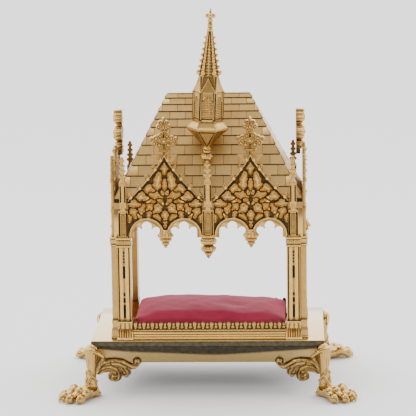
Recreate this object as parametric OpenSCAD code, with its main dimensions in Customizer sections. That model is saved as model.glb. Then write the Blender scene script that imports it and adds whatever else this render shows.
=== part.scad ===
// Gilt brass shrine-shaped monstrance: a footed plinth carries an open four-post canopy
// with cusped gables, a steep hipped roof, a spired turret and a loose velvet cushion.
// Millimetres. +Z is up, the front faces -Y, and the origin is on the table below the middle.

/* [Plinth] */
// Width of the plinth's top
base_w = 260; // [252:1:280]
// Depth of the plinth's top
base_d = 164; // [164:1:180]
// Height of the plinth's top above the table
base_top = 64; // [60:0.5:70]
// Height of the plinth's upright edge
fascia_h = 6.5; // [5.5:0.5:8]
// Drop of the sloping skirt below the upright edge
skirt_h = 22.5; // [20:0.5:26]
// How far the skirt slopes inwards
skirt_in = 17; // [14:0.5:20]
// Thickness of the plinth's top sheet
plate_t = 2; // [1.5:0.1:2.5]
// Thickness of the skirt's sheet
skirt_t = 1.5; // [1:0.1:2]

/* [Canopy] */
// Clear width of one gabled bay
bay_w = 82.2; // [78:0.1:84]
// Width of a corner buttress
buttress_w = 11; // [10:0.5:12]
// Width of the middle buttress
mid_buttress_w = 12.5; // [11:0.5:14]
// From a corner buttress's middle to the outside of the canopy
corner_set = 15; // [14.5:0.5:16]
// Distance of the canopy's front from the plinth's middle
canopy_front = 77.5; // [74:0.5:80]
// Sideways place of the canopy's middle on the plinth
canopy_x = 2.4; // [-3:0.1:3]
// Width of a post's core and pilasters
post_w = 15.75; // [15:0.05:16.5]
// How far a pilaster stands out of the core
pilaster_t = 7; // [6:0.5:8]
// Top of a post's foot, above the table
post_foot_z = 85; // [82:0.5:88]
// Top of a post's shaft
shaft_z = 169.4; // [160:0.2:172]
// Top of a post's capital
cap_z = 180; // [178:0.5:182]
// Height of the bottom rail
rail_h = 9; // [8:0.5:10]
// Depth of the bottom rail
rail_d = 7; // [6:0.5:8]
// Top of the leaf gallery
gallery_z = 84.5; // [82:0.5:86]

/* [Gables] */
// Height of the arches' springing
spring_z = 182; // [181:0.5:184]
// Top of the arches
arch_z = 198; // [196:0.5:200]
// Feet of the raking edges
rake_z = 222; // [220:0.5:224]
// Apex of the gables
apex_z = 271; // [266:0.5:276]
// Tip of the small pendants
pendant_z = 167.7; // [164:0.1:170]
// Tip of the middle buttress's pendant
mid_pendant_z = 155.6; // [154:0.1:160]
// Thickness of a gable's field
field_t = 2.5; // [2:0.1:3]
// Thickness of the front wall, buttresses included
wall_t = 4.5; // [4:0.1:5]
// Tip of the corner pinnacles
pinnacle_z = 270.6; // [264:0.2:276]
// Tip of the gable finials
finial_z = 314.5; // [306:0.5:322]

/* [Roof] */
// Height of the ridge
ridge_z = 333.4; // [325:0.2:340]
// Half the ridge's length
ridge_half = 45.7; // [40:0.1:50]
// Height of the roof sheets' lower edge
eave_z = 222; // [220:0.5:224]
// Thickness of a roof sheet
roof_t = 1.5; // [1.2:0.1:2]
// Height of an eaves bar
eaves_h = 6.5; // [6:0.5:7]
// Depth of an eaves bar
eaves_d = 6; // [5:0.5:7]

/* [Turret] */
// Lean of the turret to the viewer's right, in degrees
turret_lean = 2.3; // [0:0.1:3]
// Distance of the turret's axis behind the canopy's front
turret_set = 17.5; // [16.5:0.1:18]
// Bottom of the turret's knob
knob_z = 262.8; // [262:0.1:264]
// Radius of the turret's knob
knob_r = 6.35; // [5.5:0.05:6.5]
// Bottom of the corbel
corbel_z = 279.6; // [278:0.1:281]
// Corner radius of the corbel's rim
rim_r = 23.65; // [22:0.05:24]
// Top of the corbel's rim
rim_z = 301; // [299:0.5:302]
// Corner radius of the turret's body
turret_r = 17; // [16:0.1:18]
// Foot of the spire
spire_z = 358; // [350:0.5:362]
// Corner radius of the spire's foot
spire_r = 11.5; // [10:0.1:12]
// Top of the spire
spire_top_z = 407; // [400:0.5:412]
// Tip of the turret's finial
tip_z = 432.4; // [426:0.2:440]

/* [Feet] */
// Distance from a foot's ankle to its longest toes
toe_reach = 37; // [32:0.5:38]
// Sideways spread of the outer toes
toe_spread = 16.5; // [14:0.5:17]
// Height of a paw's instep
paw_h = 15.5; // [14:0.5:18]
// Radius of the shin
shin_r = 5.85; // [5:0.05:7]
// Thickness of the acanthus wings
wing_t = 4.5; // [4:0.1:5.5]

/* [Cushion] */
// Highest point of the cushion
cushion_top = 97; // [92:0.5:100]
// Height of the cushion's upright sides above its board
cushion_side = 20; // [16:0.5:22]
// Thickness of the board under the cushion
board_t = 2; // [1.5:0.1:3]
// Gap between the cushion and what surrounds it
cushion_gap = 0.7; // [0.5:0.1:2]

/* [Hidden] */

// Colours
GILT = [0.80, 0.65, 0.36];
POLISHED = [0.86, 0.76, 0.52];
ROOF_GILT = [0.74, 0.60, 0.36];
DULL = [0.60, 0.42, 0.22];
STEEL = [0.55, 0.53, 0.48];
VELVET = [0.62, 0.06, 0.14];
BOARD = [0.45, 0.33, 0.22];

FINE = 48;       // facets of a full round
BLEND = 16;      // facets of the round children of a hull
EPS = 0.01;
FAR = 400;       // longer than any part of the object

// Plinth
fascia_z = base_top - fascia_h;
skirt_z = fascia_z - skirt_h;
skirt_angle = atan(skirt_in / skirt_h);

// Canopy, measured from its own middle
half_w = mid_buttress_w / 2 + bay_w + buttress_w / 2 + corner_set;
half_d = bay_w / 2 + buttress_w / 2 + corner_set;
canopy_y = half_d - canopy_front;
core_in = pilaster_t + post_w;           // from the outside to the inside of a post
wall_in = half_d - wall_t;               // back of the front wall
side_wall_in = half_w - wall_t;          // back of a side wall
bay_x = mid_buttress_w / 2 + bay_w / 2;  // middle of a front bay
reed_r = post_w / 6 - 0.5;               // three reeds across a pilaster
post_grow = 1.2;                         // how far a post's foot spreads
post_slab = 3;                           // height of the slab under a post's foot
cap_steps = 4;
rod_x = half_w - pilaster_t - post_w / 2;
rod_y = half_d - pilaster_t - post_w / 2;
rod_r = 2;
rod_low_z = base_top - plate_t - 6;
rod_high_z = 202;
nut_r = 4;
nut_h = 3.2;
thread_play = 0.04;
hole_play = 0.2;

// Roof
eave_half_d = half_d - wall_t - 1.1;
eave_half_w = half_w - wall_t - 0.95;
roof_rise = ridge_z - eave_z;
roof_run = eave_half_d;
roof_pitch = atan(roof_rise / roof_run);
roof_drop = roof_t / cos(roof_pitch);    // a sheet's thickness measured straight down
eaves_top_z = eave_z - roof_drop;
eaves_low_z = eaves_top_z - eaves_h;
screw_r = 1.25;
screw_head_r = 2.4;
screw_head_h = 1.6;
gable_screw_set = 24;                    // each side of a bay's middle

// Turret
turret_y = canopy_y - half_d + turret_set;
neck_r = 3;
rim_h = 3;
weather_h = 7;
turret_face_z = 345;
tie_r = 1.5;
tie_low_z = knob_z + 4;
tie_high_z = spire_top_z + 6;
stay_r = 2;
stay_start_z = 297;                      // where the stay leaves the turret axis
stay_from = 6;
// from the turret's axis to the roof, square to the roof
stay_len = (half_d - turret_set) * sin(roof_pitch) - (ridge_z - stay_start_z) * cos(roof_pitch);
stay_collar_r = 4.5;
stay_collar_h = 2;

// Feet
ankle_z = 12;
ankle_set = 0.7;                         // ankle's distance outside the plinth's corner
foot_screw_r = 1.5;
foot_screw_head_r = 2.8;
foot_screw_head_h = 2;
foot_screw_set = 24;                     // from the plinth's corner
foot_screw_drop = 12;                    // down the slope
foot_screw_bite = 3.2;

// ---------------------------------------------------------------- helpers

// Moves what is drawn about the canopy's middle to its place
module on_canopy() {
    translate([canopy_x, canopy_y, 0]) children();
}

// Turns a front right corner piece into another corner's
module corner(right, front) {
    mirror([right ? 0 : 1, 0, 0]) mirror([0, front ? 0 : 1, 0]) children();
}

// Stands a flat drawing up facing -Y, with its back at y and t thick
module upright(y, t) {
    translate([0, y, 0]) rotate([90, 0, 0]) linear_extrude(t) children();
}

// Places a bay drawn at the middle of the front plane: "front", "back", "left" or "right"
module bay(side, x = 0) {
    on_canopy() {
        if (side == "front") translate([x, -half_d, 0]) children();
        if (side == "back") rotate([0, 0, 180]) translate([x, -half_d, 0]) children();
        if (side == "left") rotate([0, 0, -90]) translate([x, -half_w, 0]) children();
        if (side == "right") rotate([0, 0, 90]) translate([x, -half_w, 0]) children();
    }
}

// Places a piece on the slope of the skirt: x along the edge, y up the slope, z outwards
module on_slope() {
    translate([0, 0, fascia_z]) rotate([90 + skirt_angle, 0, 0]) children();
}

// ---------------------------------------------------------------- plinth

module post_axes() {
    on_canopy() for (x = [-rod_x, rod_x], y = [-rod_y, rod_y]) translate([x, y, 0]) children();
}

module base_top_plate() {
    color(POLISHED) difference() {
        translate([-base_w / 2, -base_d / 2, fascia_z]) cube([base_w, base_d, fascia_h]);
        translate([-base_w / 2 + plate_t, -base_d / 2 + plate_t, fascia_z - 1])
            cube([base_w - 2 * plate_t, base_d - 2 * plate_t, fascia_h - plate_t + 1]);
        post_axes() translate([0, 0, fascia_z]) cylinder(h = 20, r = rod_r + hole_play, $fn = FINE);
    }
}

// A sheet of the skirt along an edge of this length, mitred at both ends, its top edge at y = 0
module skirt_sheet(length) {
    inside = skirt_in + 2 * skirt_t;
    top_t = skirt_t / cos(skirt_angle);
    intersection() {
        rotate([90, 0, 90]) translate([0, 0, -length / 2]) linear_extrude(length)
            polygon([[0, fascia_z], [skirt_in, skirt_z], [skirt_in + top_t, skirt_z], [top_t, fascia_z]]);
        linear_extrude(base_top)
            polygon([[-length / 2, 0], [length / 2, 0],
                     [length / 2 - inside, inside], [inside - length / 2, inside]]);
    }
}

module base_skirt(turn, length, reach) {
    color(POLISHED) rotate([0, 0, turn]) translate([0, -reach, 0]) difference() {
        skirt_sheet(length);
        for (end = [-1, 1])
            translate([end * (length / 2 - foot_screw_set), 0, 0]) foot_screw_axis()
                translate([0, 0, -5]) cylinder(h = 8, r = foot_screw_r + hole_play, $fn = FINE);
    }
}

module base_skirt_front() { base_skirt(0, base_w, base_d / 2); }
module base_skirt_right() { base_skirt(90, base_d, base_w / 2); }
module base_skirt_back() { base_skirt(180, base_w, base_d / 2); }
module base_skirt_left() { base_skirt(270, base_d, base_w / 2); }

// ---------------------------------------------------------------- feet

// Places a piece on the skirt's slope where a foot screw goes through it, +Z outwards
module foot_screw_axis() {
    on_slope() translate([0, -foot_screw_drop, 0]) children();
}

// The space inside the plinth beside its front right corner, which is at x = y = 0
module plinth_corner() {
    intersection() {
        rotate([90, 0, 90]) translate([0, 0, -FAR]) linear_extrude(2 * FAR)
            polygon([[0, base_top], [0, fascia_z], [skirt_in, skirt_z], [FAR, skirt_z], [FAR, base_top]]);
        rotate([90, 0, 0]) translate([0, 0, -FAR]) linear_extrude(2 * FAR)
            polygon([[0, base_top], [0, fascia_z], [-skirt_in, skirt_z], [-FAR, skirt_z], [-FAR, base_top]]);
    }
}

// Outline of an acanthus wing on the slope: x from the corner, y up the slope from its top edge
module wing_outline() {
    polygon([[3, 0], [-12, -14], [-34, -12], [-50, -9], [-56, -14], [-48, -19], [-36, -22],
             [-31, -30], [-22, -30], [-16, -28], [-8, -27], [-2, -38], [3, -38]]);
    translate([-27.5, -35]) circle(r = 8, $fn = FINE);
    translate([-50, -13]) circle(r = 5.5, $fn = FINE);
    translate([-39, -27]) circle(r = 5.5, $fn = FINE);
}

// One wing against the front skirt, mitred where it meets the other
module wing() {
    difference() {
        intersection() {
            on_slope() translate([0, 0, -1]) linear_extrude(wing_t + 1) wing_outline();
            rotate([0, 0, 45]) translate([0.7 - FAR, -FAR / 2, 0]) cube([FAR, FAR, FAR]);
        }
        translate([-foot_screw_set, 0, 0]) foot_screw_axis() translate([0, 0, -2])
            cylinder(h = foot_screw_bite + 2.3, r = foot_screw_r + thread_play, $fn = FINE);
    }
}

// The web between the shin and the skirt's mitre, in the corner's diagonal plane
module gusset() {
    web_t = 8;
    mitre = skirt_in * sqrt(2);
    rotate([0, 0, -45]) rotate([90, 0, 0]) translate([0, 0, -web_t / 2]) linear_extrude(web_t)
        polygon([[0, fascia_z], [-mitre, skirt_z], [-mitre + 1, skirt_z - 5], [-mitre / 2, skirt_z - 7],
                 [0, skirt_z - 15]]);
}

// The shin and paw, with +X outwards along the corner's diagonal and the ankle at x = 0
module paw() {
    knee_z = fascia_z - 4;
    hull() {
        translate([-1, 0, knee_z]) sphere(r = shin_r + 1.5, $fn = BLEND);
        translate([0, 0, skirt_z - 4]) sphere(r = shin_r, $fn = BLEND);
    }
    hull() {
        translate([0, 0, skirt_z - 4]) sphere(r = shin_r, $fn = BLEND);
        translate([0, 0, ankle_z]) sphere(r = shin_r + 1, $fn = BLEND);
    }
    hull() {
        translate([-3, 0, 5]) sphere(r = shin_r + 1.2, $fn = BLEND);
        translate([2, 0, ankle_z]) sphere(r = shin_r + 1, $fn = BLEND);
        for (side = [-1, 1])
            translate([toe_reach * 0.5, side * toe_spread * 0.6, paw_h - 8.5]) sphere(r = 7, $fn = BLEND);
    }
    for (side = [-1, 1]) {
        hull() {
            translate([toe_reach * 0.5, side * toe_spread * 0.8, 7]) sphere(r = 5, $fn = BLEND);
            translate([toe_reach * 0.8, side * toe_spread * 0.95, 4]) sphere(r = 4.6, $fn = BLEND);
        }
        hull() {
            translate([toe_reach * 0.6, side * toe_spread * 0.3, 8.5]) sphere(r = 5, $fn = BLEND);
            translate([toe_reach, side * toe_spread * 0.33, 4]) sphere(r = 4.6, $fn = BLEND);
        }
    }
}

module foot(right, front) {
    color(GILT) corner(right, front) translate([base_w / 2, -base_d / 2, 0]) difference() {
        union() {
            wing();
            mirror([1, 1, 0]) wing();
            gusset();
            rotate([0, 0, -45]) translate([ankle_set, 0, 0]) paw();
        }
        plinth_corner();
        translate([-FAR, -FAR, -FAR]) cube([2 * FAR, 2 * FAR, FAR]);
    }
}

module foot_front_left() { foot(false, true); }
module foot_front_right() { foot(true, true); }
module foot_back_left() { foot(false, false); }
module foot_back_right() { foot(true, false); }

module foot_screws() {
    color(STEEL) for (right = [false, true], front = [false, true])
        corner(right, front) translate([base_w / 2, -base_d / 2, 0])
            for (flip = [0, 1]) mirror([flip, flip, 0]) translate([-foot_screw_set, 0, 0])
                foot_screw_axis() {
                    translate([0, 0, -skirt_t])
                        cylinder(h = skirt_t + foot_screw_bite, r = foot_screw_r, $fn = FINE);
                    translate([0, 0, -skirt_t - foot_screw_head_h])
                        cylinder(h = foot_screw_head_h, r = foot_screw_head_r, $fn = FINE);
                }
}

// ---------------------------------------------------------------- canopy posts

// Plan of a post: a square core with a pilaster on its front and one on its side
module post_plan(grow) {
    translate([half_w - core_in - grow, -half_d + pilaster_t - grow])
        square([post_w + 2 * grow, post_w + 2 * grow]);
    translate([half_w - core_in - grow, -half_d - grow]) square([post_w + 2 * grow, pilaster_t + grow]);
    translate([half_w - pilaster_t, -half_d + pilaster_t - grow])
        square([pilaster_t + grow, post_w + 2 * grow]);
}

// Plan of a post's shaft, with three reeds on each pilaster
module shaft_plan() {
    inset = 0.4;
    translate([half_w - core_in, -half_d + pilaster_t]) square(post_w);
    translate([half_w - core_in + inset, -half_d + reed_r])
        square([post_w - 2 * inset, pilaster_t]);
    translate([half_w - pilaster_t - 1, -half_d + pilaster_t + inset])
        square([pilaster_t + 1 - reed_r, post_w - 2 * inset]);
    for (i = [0:2]) {
        along = post_w * (2 * i + 1) / 6;
        translate([half_w - core_in + along, -half_d + reed_r]) circle(r = reed_r, $fn = FINE);
        translate([half_w - reed_r, -half_d + pilaster_t + along]) circle(r = reed_r, $fn = FINE);
    }
}

module post(right, front) {
    cap_step = (cap_z - shaft_z) / cap_steps;
    foot_steps = 4;
    foot_step = (post_foot_z - base_top - post_slab) / foot_steps;
    color(GILT) on_canopy() corner(right, front) difference() {
        union() {
            translate([0, 0, base_top]) linear_extrude(post_slab) post_plan(post_grow);
            for (i = [0:foot_steps - 1])
                translate([0, 0, base_top + post_slab + i * foot_step])
                    linear_extrude(foot_step) post_plan(post_grow * (1 - (i + 1) / (foot_steps + 1)));
            translate([0, 0, post_foot_z]) linear_extrude(shaft_z - post_foot_z) shaft_plan();
            for (i = [0:cap_steps - 1])
                translate([0, 0, shaft_z + i * cap_step])
                    linear_extrude(cap_step) post_plan(i == 1 ? 0 : 0.2 + i * 0.2);
        }
        translate([rod_x, -rod_y, base_top - 1])
            cylinder(h = cap_z - base_top + 2, r = rod_r + hole_play, $fn = FINE);
    }
}

module post_front_left() { post(false, true); }
module post_front_right() { post(true, true); }
module post_back_left() { post(false, false); }
module post_back_right() { post(true, false); }

module post_rods() {
    color(STEEL) post_axes() translate([0, 0, rod_low_z])
        cylinder(h = rod_high_z - rod_low_z, r = rod_r, $fn = FINE);
}

module post_nuts() {
    color(STEEL) post_axes() translate([0, 0, base_top - plate_t - nut_h]) difference() {
        cylinder(h = nut_h, r = nut_r, $fn = 6);
        translate([0, 0, -1]) cylinder(h = nut_h + 2, r = rod_r + thread_play, $fn = FINE);
    }
}

// ---------------------------------------------------------------- rails and galleries

// A moulded rail between two posts' feet, on the front plane
module rail(side, length) {
    color(GILT) bay(side) rotate([90, 0, 90]) translate([0, 0, -length / 2]) linear_extrude(length)
        polygon([[0, base_top], [0, base_top + rail_h * 0.35], [1.2, base_top + rail_h * 0.45],
                 [1.2, base_top + rail_h * 0.65], [0.3, base_top + rail_h * 0.75],
                 [0.3, base_top + rail_h], [rail_d, base_top + rail_h], [rail_d, base_top]]);
}

// A strip of upright leaves standing on a rail
module gallery(side, length) {
    strip_t = 2.6;
    leaf_w = 4.8;
    leaves = floor(length / leaf_w);
    leaf_r = length / leaves / 2;
    low_z = base_top + rail_h;
    color(GILT) bay(side) upright(1 + strip_t, strip_t) {
        translate([-length / 2, low_z]) square([length, gallery_z - low_z - leaf_r]);
        for (i = [0:leaves - 1])
            translate([-length / 2 + leaf_r * (2 * i + 1), gallery_z - leaf_r])
                circle(r = leaf_r * 0.96, $fn = 24);
    }
}

rail_w = 2 * (half_w - core_in - post_grow);
rail_side_w = 2 * (half_d - core_in - post_grow);

module rail_front() { rail("front", rail_w); }
module rail_back() { rail("back", rail_w); }
module rail_left() { rail("left", rail_side_w); }
module rail_right() { rail("right", rail_side_w); }
module gallery_front() { gallery("front", rail_w); }
module gallery_back() { gallery("back", rail_w); }
module gallery_left() { gallery("left", rail_side_w); }
module gallery_right() { gallery("right", rail_side_w); }

// ---------------------------------------------------------------- upper buttresses

// Outline of a buttress: two stages, each under a small gable, and a crocketed pinnacle
module buttress_outline(w, low_z, tip_z) {
    stage_1 = low_z + 34;
    stage_2 = low_z + 64;
    polygon([[-w / 2, low_z], [-w / 2, stage_1 - 5], [-w * 0.4, stage_1], [-w * 0.34, stage_1],
             [-w * 0.34, stage_2 - 4], [-w * 0.2, stage_2], [-w * 0.07, tip_z], [w * 0.07, tip_z],
             [w * 0.2, stage_2], [w * 0.34, stage_2 - 4], [w * 0.34, stage_1], [w * 0.4, stage_1],
             [w / 2, stage_1 - 5], [w / 2, low_z]]);
    for (z = [stage_2 + 6 : 7 : tip_z - 4])
        translate([0, z]) circle(r = w * 0.22 * (1 - (z - stage_2) / 60), $fn = 24);
}

// Sunk niche with a pointed head
module niche_outline(w, low_z) {
    translate([-w * 0.28, low_z + 4]) square([w * 0.56, 18]);
    translate([0, low_z + 22]) circle(r = w * 0.28, $fn = 24);
}

module buttress(right, front) {
    low_z = cap_z;
    core_top = eaves_low_z;
    color(GILT) on_canopy() corner(right, front) difference() {
        union() {
            translate([half_w - corner_set, 0, 0]) upright(wall_t - half_d, wall_t)
                buttress_outline(buttress_w, low_z, pinnacle_z);
            rotate([0, 0, 90]) translate([-half_d + corner_set, 0, 0]) upright(wall_t - half_w, wall_t)
                buttress_outline(buttress_w, low_z, pinnacle_z);
            translate([half_w - corner_set - buttress_w / 2, wall_t - half_d, low_z])
                cube([corner_set + buttress_w / 2 - wall_t, corner_set + buttress_w / 2 - wall_t,
                      core_top - low_z]);
        }
        translate([half_w - corner_set, 0, 0]) upright(1.2 - half_d, 2) niche_outline(buttress_w, low_z);
        rotate([0, 0, 90]) translate([-half_d + corner_set, 0, 0]) upright(1.2 - half_w, 2)
            niche_outline(buttress_w, low_z);
        translate([rod_x, -rod_y, low_z - 1])
            cylinder(h = rod_high_z - low_z + 2, r = rod_r + thread_play, $fn = FINE);
    }
}

module buttress_front_left() { buttress(false, true); }
module buttress_front_right() { buttress(true, true); }
module buttress_back_left() { buttress(false, false); }
module buttress_back_right() { buttress(true, false); }

// The middle buttress hangs between two bays and ends in a two-ringed pendant
module mid_buttress(side) {
    low_z = spring_z;
    color(GILT) bay(side) {
        difference() {
            upright(wall_t, wall_t) buttress_outline(mid_buttress_w, low_z, apex_z - 5);
            upright(1.2, 2) niche_outline(mid_buttress_w, low_z);
        }
        translate([0, wall_t, 0]) intersection() {
            rotate_extrude($fn = FINE)
                polygon([[0, mid_pendant_z], [1.6, mid_pendant_z + 1], [4.6, mid_pendant_z + 8],
                         [9, mid_pendant_z + 11.4], [5.7, mid_pendant_z + 14.5], [5.7, mid_pendant_z + 17.5],
                         [9.4, mid_pendant_z + 21], [9.1, cap_z - 0.2], [5.9, cap_z - 0.2],
                         [5.9, low_z + 0.5], [0, low_z + 0.5]]);
            translate([-20, -wall_t - 2, 0]) cube([40, wall_t + 1.7, FAR]);
        }
    }
}

module mid_buttress_front() { mid_buttress("front"); }
module mid_buttress_back() { mid_buttress("back"); }

// ---------------------------------------------------------------- gables

// Trefoil head of one arch, centred at x = 0
module trefoil(w) {
    foil_r = w * 0.177;
    side_x = w * 0.32;
    side_z = spring_z + w * 0.18;
    below = 20;
    translate([0, arch_z - foil_r]) circle(r = foil_r, $fn = FINE);
    for (side = [-1, 1]) translate([side * side_x, side_z]) circle(r = w * 0.136, $fn = FINE);
    translate([-side_x, spring_z - below]) square([2 * side_x, side_z - spring_z + below + 2]);
    translate([-w * 0.44, spring_z - below]) square([w * 0.88, side_z - spring_z + below]);
}

module gable_outline() {
    boss_w = 9.5;
    arch_w = bay_w / 2 - boss_w;
    difference() {
        polygon([[-bay_w / 2, cap_z], [-bay_w / 2, rake_z], [-3, apex_z], [3, apex_z],
                 [bay_w / 2, rake_z], [bay_w / 2, cap_z]]);
        for (side = [-1, 1]) translate([side * (boss_w + arch_w) / 2, 0]) trefoil(arch_w);
    }
}

// The small pendant between a bay's two arches
module bay_pendant() {
    rotate_extrude($fn = FINE)
        polygon([[0, pendant_z], [1.5, pendant_z + 1], [3.6, pendant_z + 7], [8.4, pendant_z + 12],
                 [9, spring_z + 1], [4.5, spring_z + 4], [0, spring_z + 4]]);
}

// Raised fillets along the two rakes, and the buds outside them
module rake_outline() {
    fillet_w = 3;
    rake_len = norm([bay_w / 2 - 3, apex_z - rake_z]);
    rake_angle = atan((apex_z - rake_z) / (bay_w / 2 - 3));
    for (side = [0, 1]) mirror([side, 0, 0]) translate([bay_w / 2, rake_z])
        rotate([0, 0, 180 - rake_angle]) {
            translate([0, 0.4]) square([rake_len, fillet_w]);
            translate([0, fillet_w + 3]) square([rake_len - 12, 1.6]);
        }
}

module crocket_outline() {
    crockets = 5;
    for (side = [-1, 1], i = [1:crockets]) {
        part = i / (crockets + 0.6);
        translate([side * (bay_w / 2 * (1 - part) + 1.6), rake_z + (apex_z - rake_z) * part])
            circle(r = 2.2, $fn = 24);
    }
}

module gable(side, x = 0) {
    color(GILT) bay(side, x) difference() {
        union() {
            upright(wall_t, field_t) gable_outline();
            upright(wall_t - field_t + 0.5, 1.7) intersection() {
                rake_outline();
                translate([0.5 - bay_w / 2, 0]) square([bay_w - 1, apex_z - 0.5]);
            }
            upright(wall_t - 1, field_t) difference() {
                crocket_outline();
                translate([-FAR, 0]) square([2 * FAR, rake_z + 2]);
            }
            translate([0, wall_t, 0]) intersection() {
                bay_pendant();
                translate([-20, -wall_t, 0]) cube([40, wall_t - 0.3, FAR]);
            }
        }
        for (end = [-1, 1])
            translate([end * gable_screw_set, wall_t + EPS, (eaves_low_z + eaves_top_z) / 2])
                rotate([90, 0, 0]) cylinder(h = 2, r = screw_r + thread_play, $fn = FINE);
    }
}

module gable_front_left() { gable("front", -bay_x); }
module gable_front_right() { gable("front", bay_x); }
module gable_back_left() { gable("back", bay_x); }
module gable_back_right() { gable("back", -bay_x); }
module gable_left() { gable("left"); }
module gable_right() { gable("right"); }

// Outline of a gable finial's stem and collar, standing on the apex
module finial_stem(h) {
    stem = 1.8;
    polygon([[-3, 0], [-stem, 0.1 * h], [-8.5, 0.15 * h], [-8, 0.22 * h], [-stem, 0.26 * h],
             [-stem, 0.9 * h], [stem, 0.9 * h], [stem, 0.26 * h], [8, 0.22 * h], [8.5, 0.15 * h],
             [stem, 0.1 * h], [3, 0]]);
}

// A gable's finial: leaves spread at half its height and again under the bud at its tip
module finial(side, x = 0) {
    finial_t = 8;
    h = finial_z - apex_z;
    bud_r = 0.1 * h;
    step = 0.3;
    color(GILT) bay(side, x) translate([0, 0, apex_z]) {
        upright(wall_t, finial_t) finial_stem(h);
        for (end = [-1, 1]) {
            upright(wall_t - step, finial_t - 3 * step)
                translate([end * 9.5, 0.46 * h]) circle(r = 5.2, $fn = FINE);
            upright(wall_t - 2 * step, finial_t - 5 * step)
                translate([end * 4.5, 0.35 * h]) circle(r = 4, $fn = FINE);
            upright(wall_t - 3 * step, finial_t - 7 * step)
                translate([end * 4, 0.48 * h]) circle(r = 4.4, $fn = FINE);
            upright(wall_t - step, finial_t - 3 * step)
                translate([end * 3.6, 0.74 * h]) circle(r = 3.9, $fn = FINE);
        }
        upright(wall_t - 2 * step, finial_t - 5 * step)
            translate([0, h - bud_r]) circle(r = bud_r, $fn = FINE);
    }
}

module finial_front_left() { finial("front", -bay_x); }
module finial_front_right() { finial("front", bay_x); }
module finial_back_left() { finial("back", bay_x); }
module finial_back_right() { finial("back", -bay_x); }
module finial_left() { finial("left"); }
module finial_right() { finial("right"); }

// ---------------------------------------------------------------- eaves and roof

// A bar behind the gables that carries a roof sheet's lower edge
module eaves_bar(side, length, screws) {
    color(DULL) bay(side) difference() {
        translate([-length / 2, wall_t, eaves_low_z]) cube([length, eaves_d, eaves_h]);
        for (x = screws)
            translate([x, wall_t + eaves_d + 1, eaves_low_z + eaves_h / 2])
                rotate([90, 0, 0]) cylinder(h = eaves_d + 2, r = screw_r + hole_play, $fn = FINE);
    }
}

side_screws = [-gable_screw_set, gable_screw_set];
front_screws = [for (x = [-bay_x, bay_x], s = side_screws) x + s];
eaves_bar_w = 2 * side_wall_in;
eaves_bar_side_w = 2 * (wall_in - eaves_d);

module eaves_bar_front() { eaves_bar("front", eaves_bar_w, front_screws); }
module eaves_bar_back() { eaves_bar("back", eaves_bar_w, front_screws); }
module eaves_bar_left() { eaves_bar("left", eaves_bar_side_w, side_screws); }
module eaves_bar_right() { eaves_bar("right", eaves_bar_side_w, side_screws); }

module gable_screw() {
    shank = eaves_d + 1.6;
    translate([0, wall_t + eaves_d, eaves_low_z + eaves_h / 2]) rotate([90, 0, 0]) {
        cylinder(h = shank, r = screw_r, $fn = FINE);
        translate([0, 0, -screw_head_h]) cylinder(h = screw_head_h, r = screw_head_r, $fn = FINE);
    }
}

module gable_screws() {
    color(STEEL) {
        for (side = ["front", "back"], x = front_screws) bay(side, x) gable_screw();
        for (side = ["left", "right"], x = side_screws) bay(side, x) gable_screw();
    }
}

// A mitred roof sheet: its eave runs along x at this distance from the ridge's line
module roof_sheet(run, eave_half, top_half) {
    intersection() {
        rotate([90, 0, 90]) translate([0, 0, -eave_half]) linear_extrude(2 * eave_half)
            polygon([[-run, eave_z], [0, ridge_z], [0, ridge_z - roof_drop], [-run, eave_z - roof_drop]]);
        linear_extrude(FAR * 2)
            polygon([[-eave_half, -run], [eave_half, -run], [top_half, 0], [-top_half, 0]]);
    }
}

// Starts on the turret's axis and points squarely into the roof along +Z
module on_stay() {
    translate([canopy_x, turret_y, stay_start_z]) rotate([roof_pitch - 180, 0, 0]) children();
}

module roof_front() {
    color(ROOF_GILT) difference() {
        on_canopy() roof_sheet(eave_half_d, eave_half_w, ridge_half);
        on_stay() cylinder(h = 60, r = stay_r + hole_play, $fn = FINE);
    }
}

module roof_back() {
    color(ROOF_GILT) on_canopy() rotate([0, 0, 180]) roof_sheet(eave_half_d, eave_half_w, ridge_half);
}

module roof_end(turn) {
    color(ROOF_GILT) on_canopy() rotate([0, 0, turn]) translate([0, -ridge_half, 0])
        roof_sheet(eave_half_w - ridge_half, eave_half_d, EPS);
}

module roof_left() { roof_end(-90); }
module roof_right() { roof_end(90); }

// ---------------------------------------------------------------- turret

// Places a piece drawn about the turret's axis, which leans about the point where the stay leaves it
module on_turret() {
    translate([canopy_x, turret_y, stay_start_z]) rotate([0, turret_lean, 0])
        translate([0, 0, -stay_start_z]) children();
}

// The hole down the turret's middle for its tie rod
module tie_hole(play) {
    translate([0, 0, tie_low_z]) cylinder(h = tie_high_z - tie_low_z, r = tie_r + play, $fn = FINE);
}

module turret_knob() {
    neck_low = knob_z + 2 * knob_r * 0.75;
    color(GILT) on_turret() difference() {
        rotate_extrude($fn = FINE) {
            intersection() {
                translate([0, knob_z + knob_r * 0.75]) scale([1, 0.75]) circle(r = knob_r, $fn = FINE);
                translate([0, 0]) square([knob_r + 1, FAR]);
            }
            translate([0, neck_low - 1]) square([neck_r, corbel_z - neck_low + 1]);
            translate([0, neck_low + 2]) square([neck_r + 1.4, 2.4]);
        }
        tie_hole(thread_play);
    }
}

module turret_corbel() {
    color(GILT) difference() {
        on_turret() {
            translate([0, 0, corbel_z])
                cylinder(h = rim_z - rim_h - corbel_z, r1 = neck_r + 0.5, r2 = rim_r - 0.6, $fn = 6);
            translate([0, 0, rim_z - rim_h]) cylinder(h = rim_h, r = rim_r, $fn = 6);
        }
        on_turret() tie_hole(hole_play);
        on_stay() translate([0, 0, stay_from - 0.5])
            cylinder(h = 40, r = stay_r + thread_play, $fn = FINE);
    }
}

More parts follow.
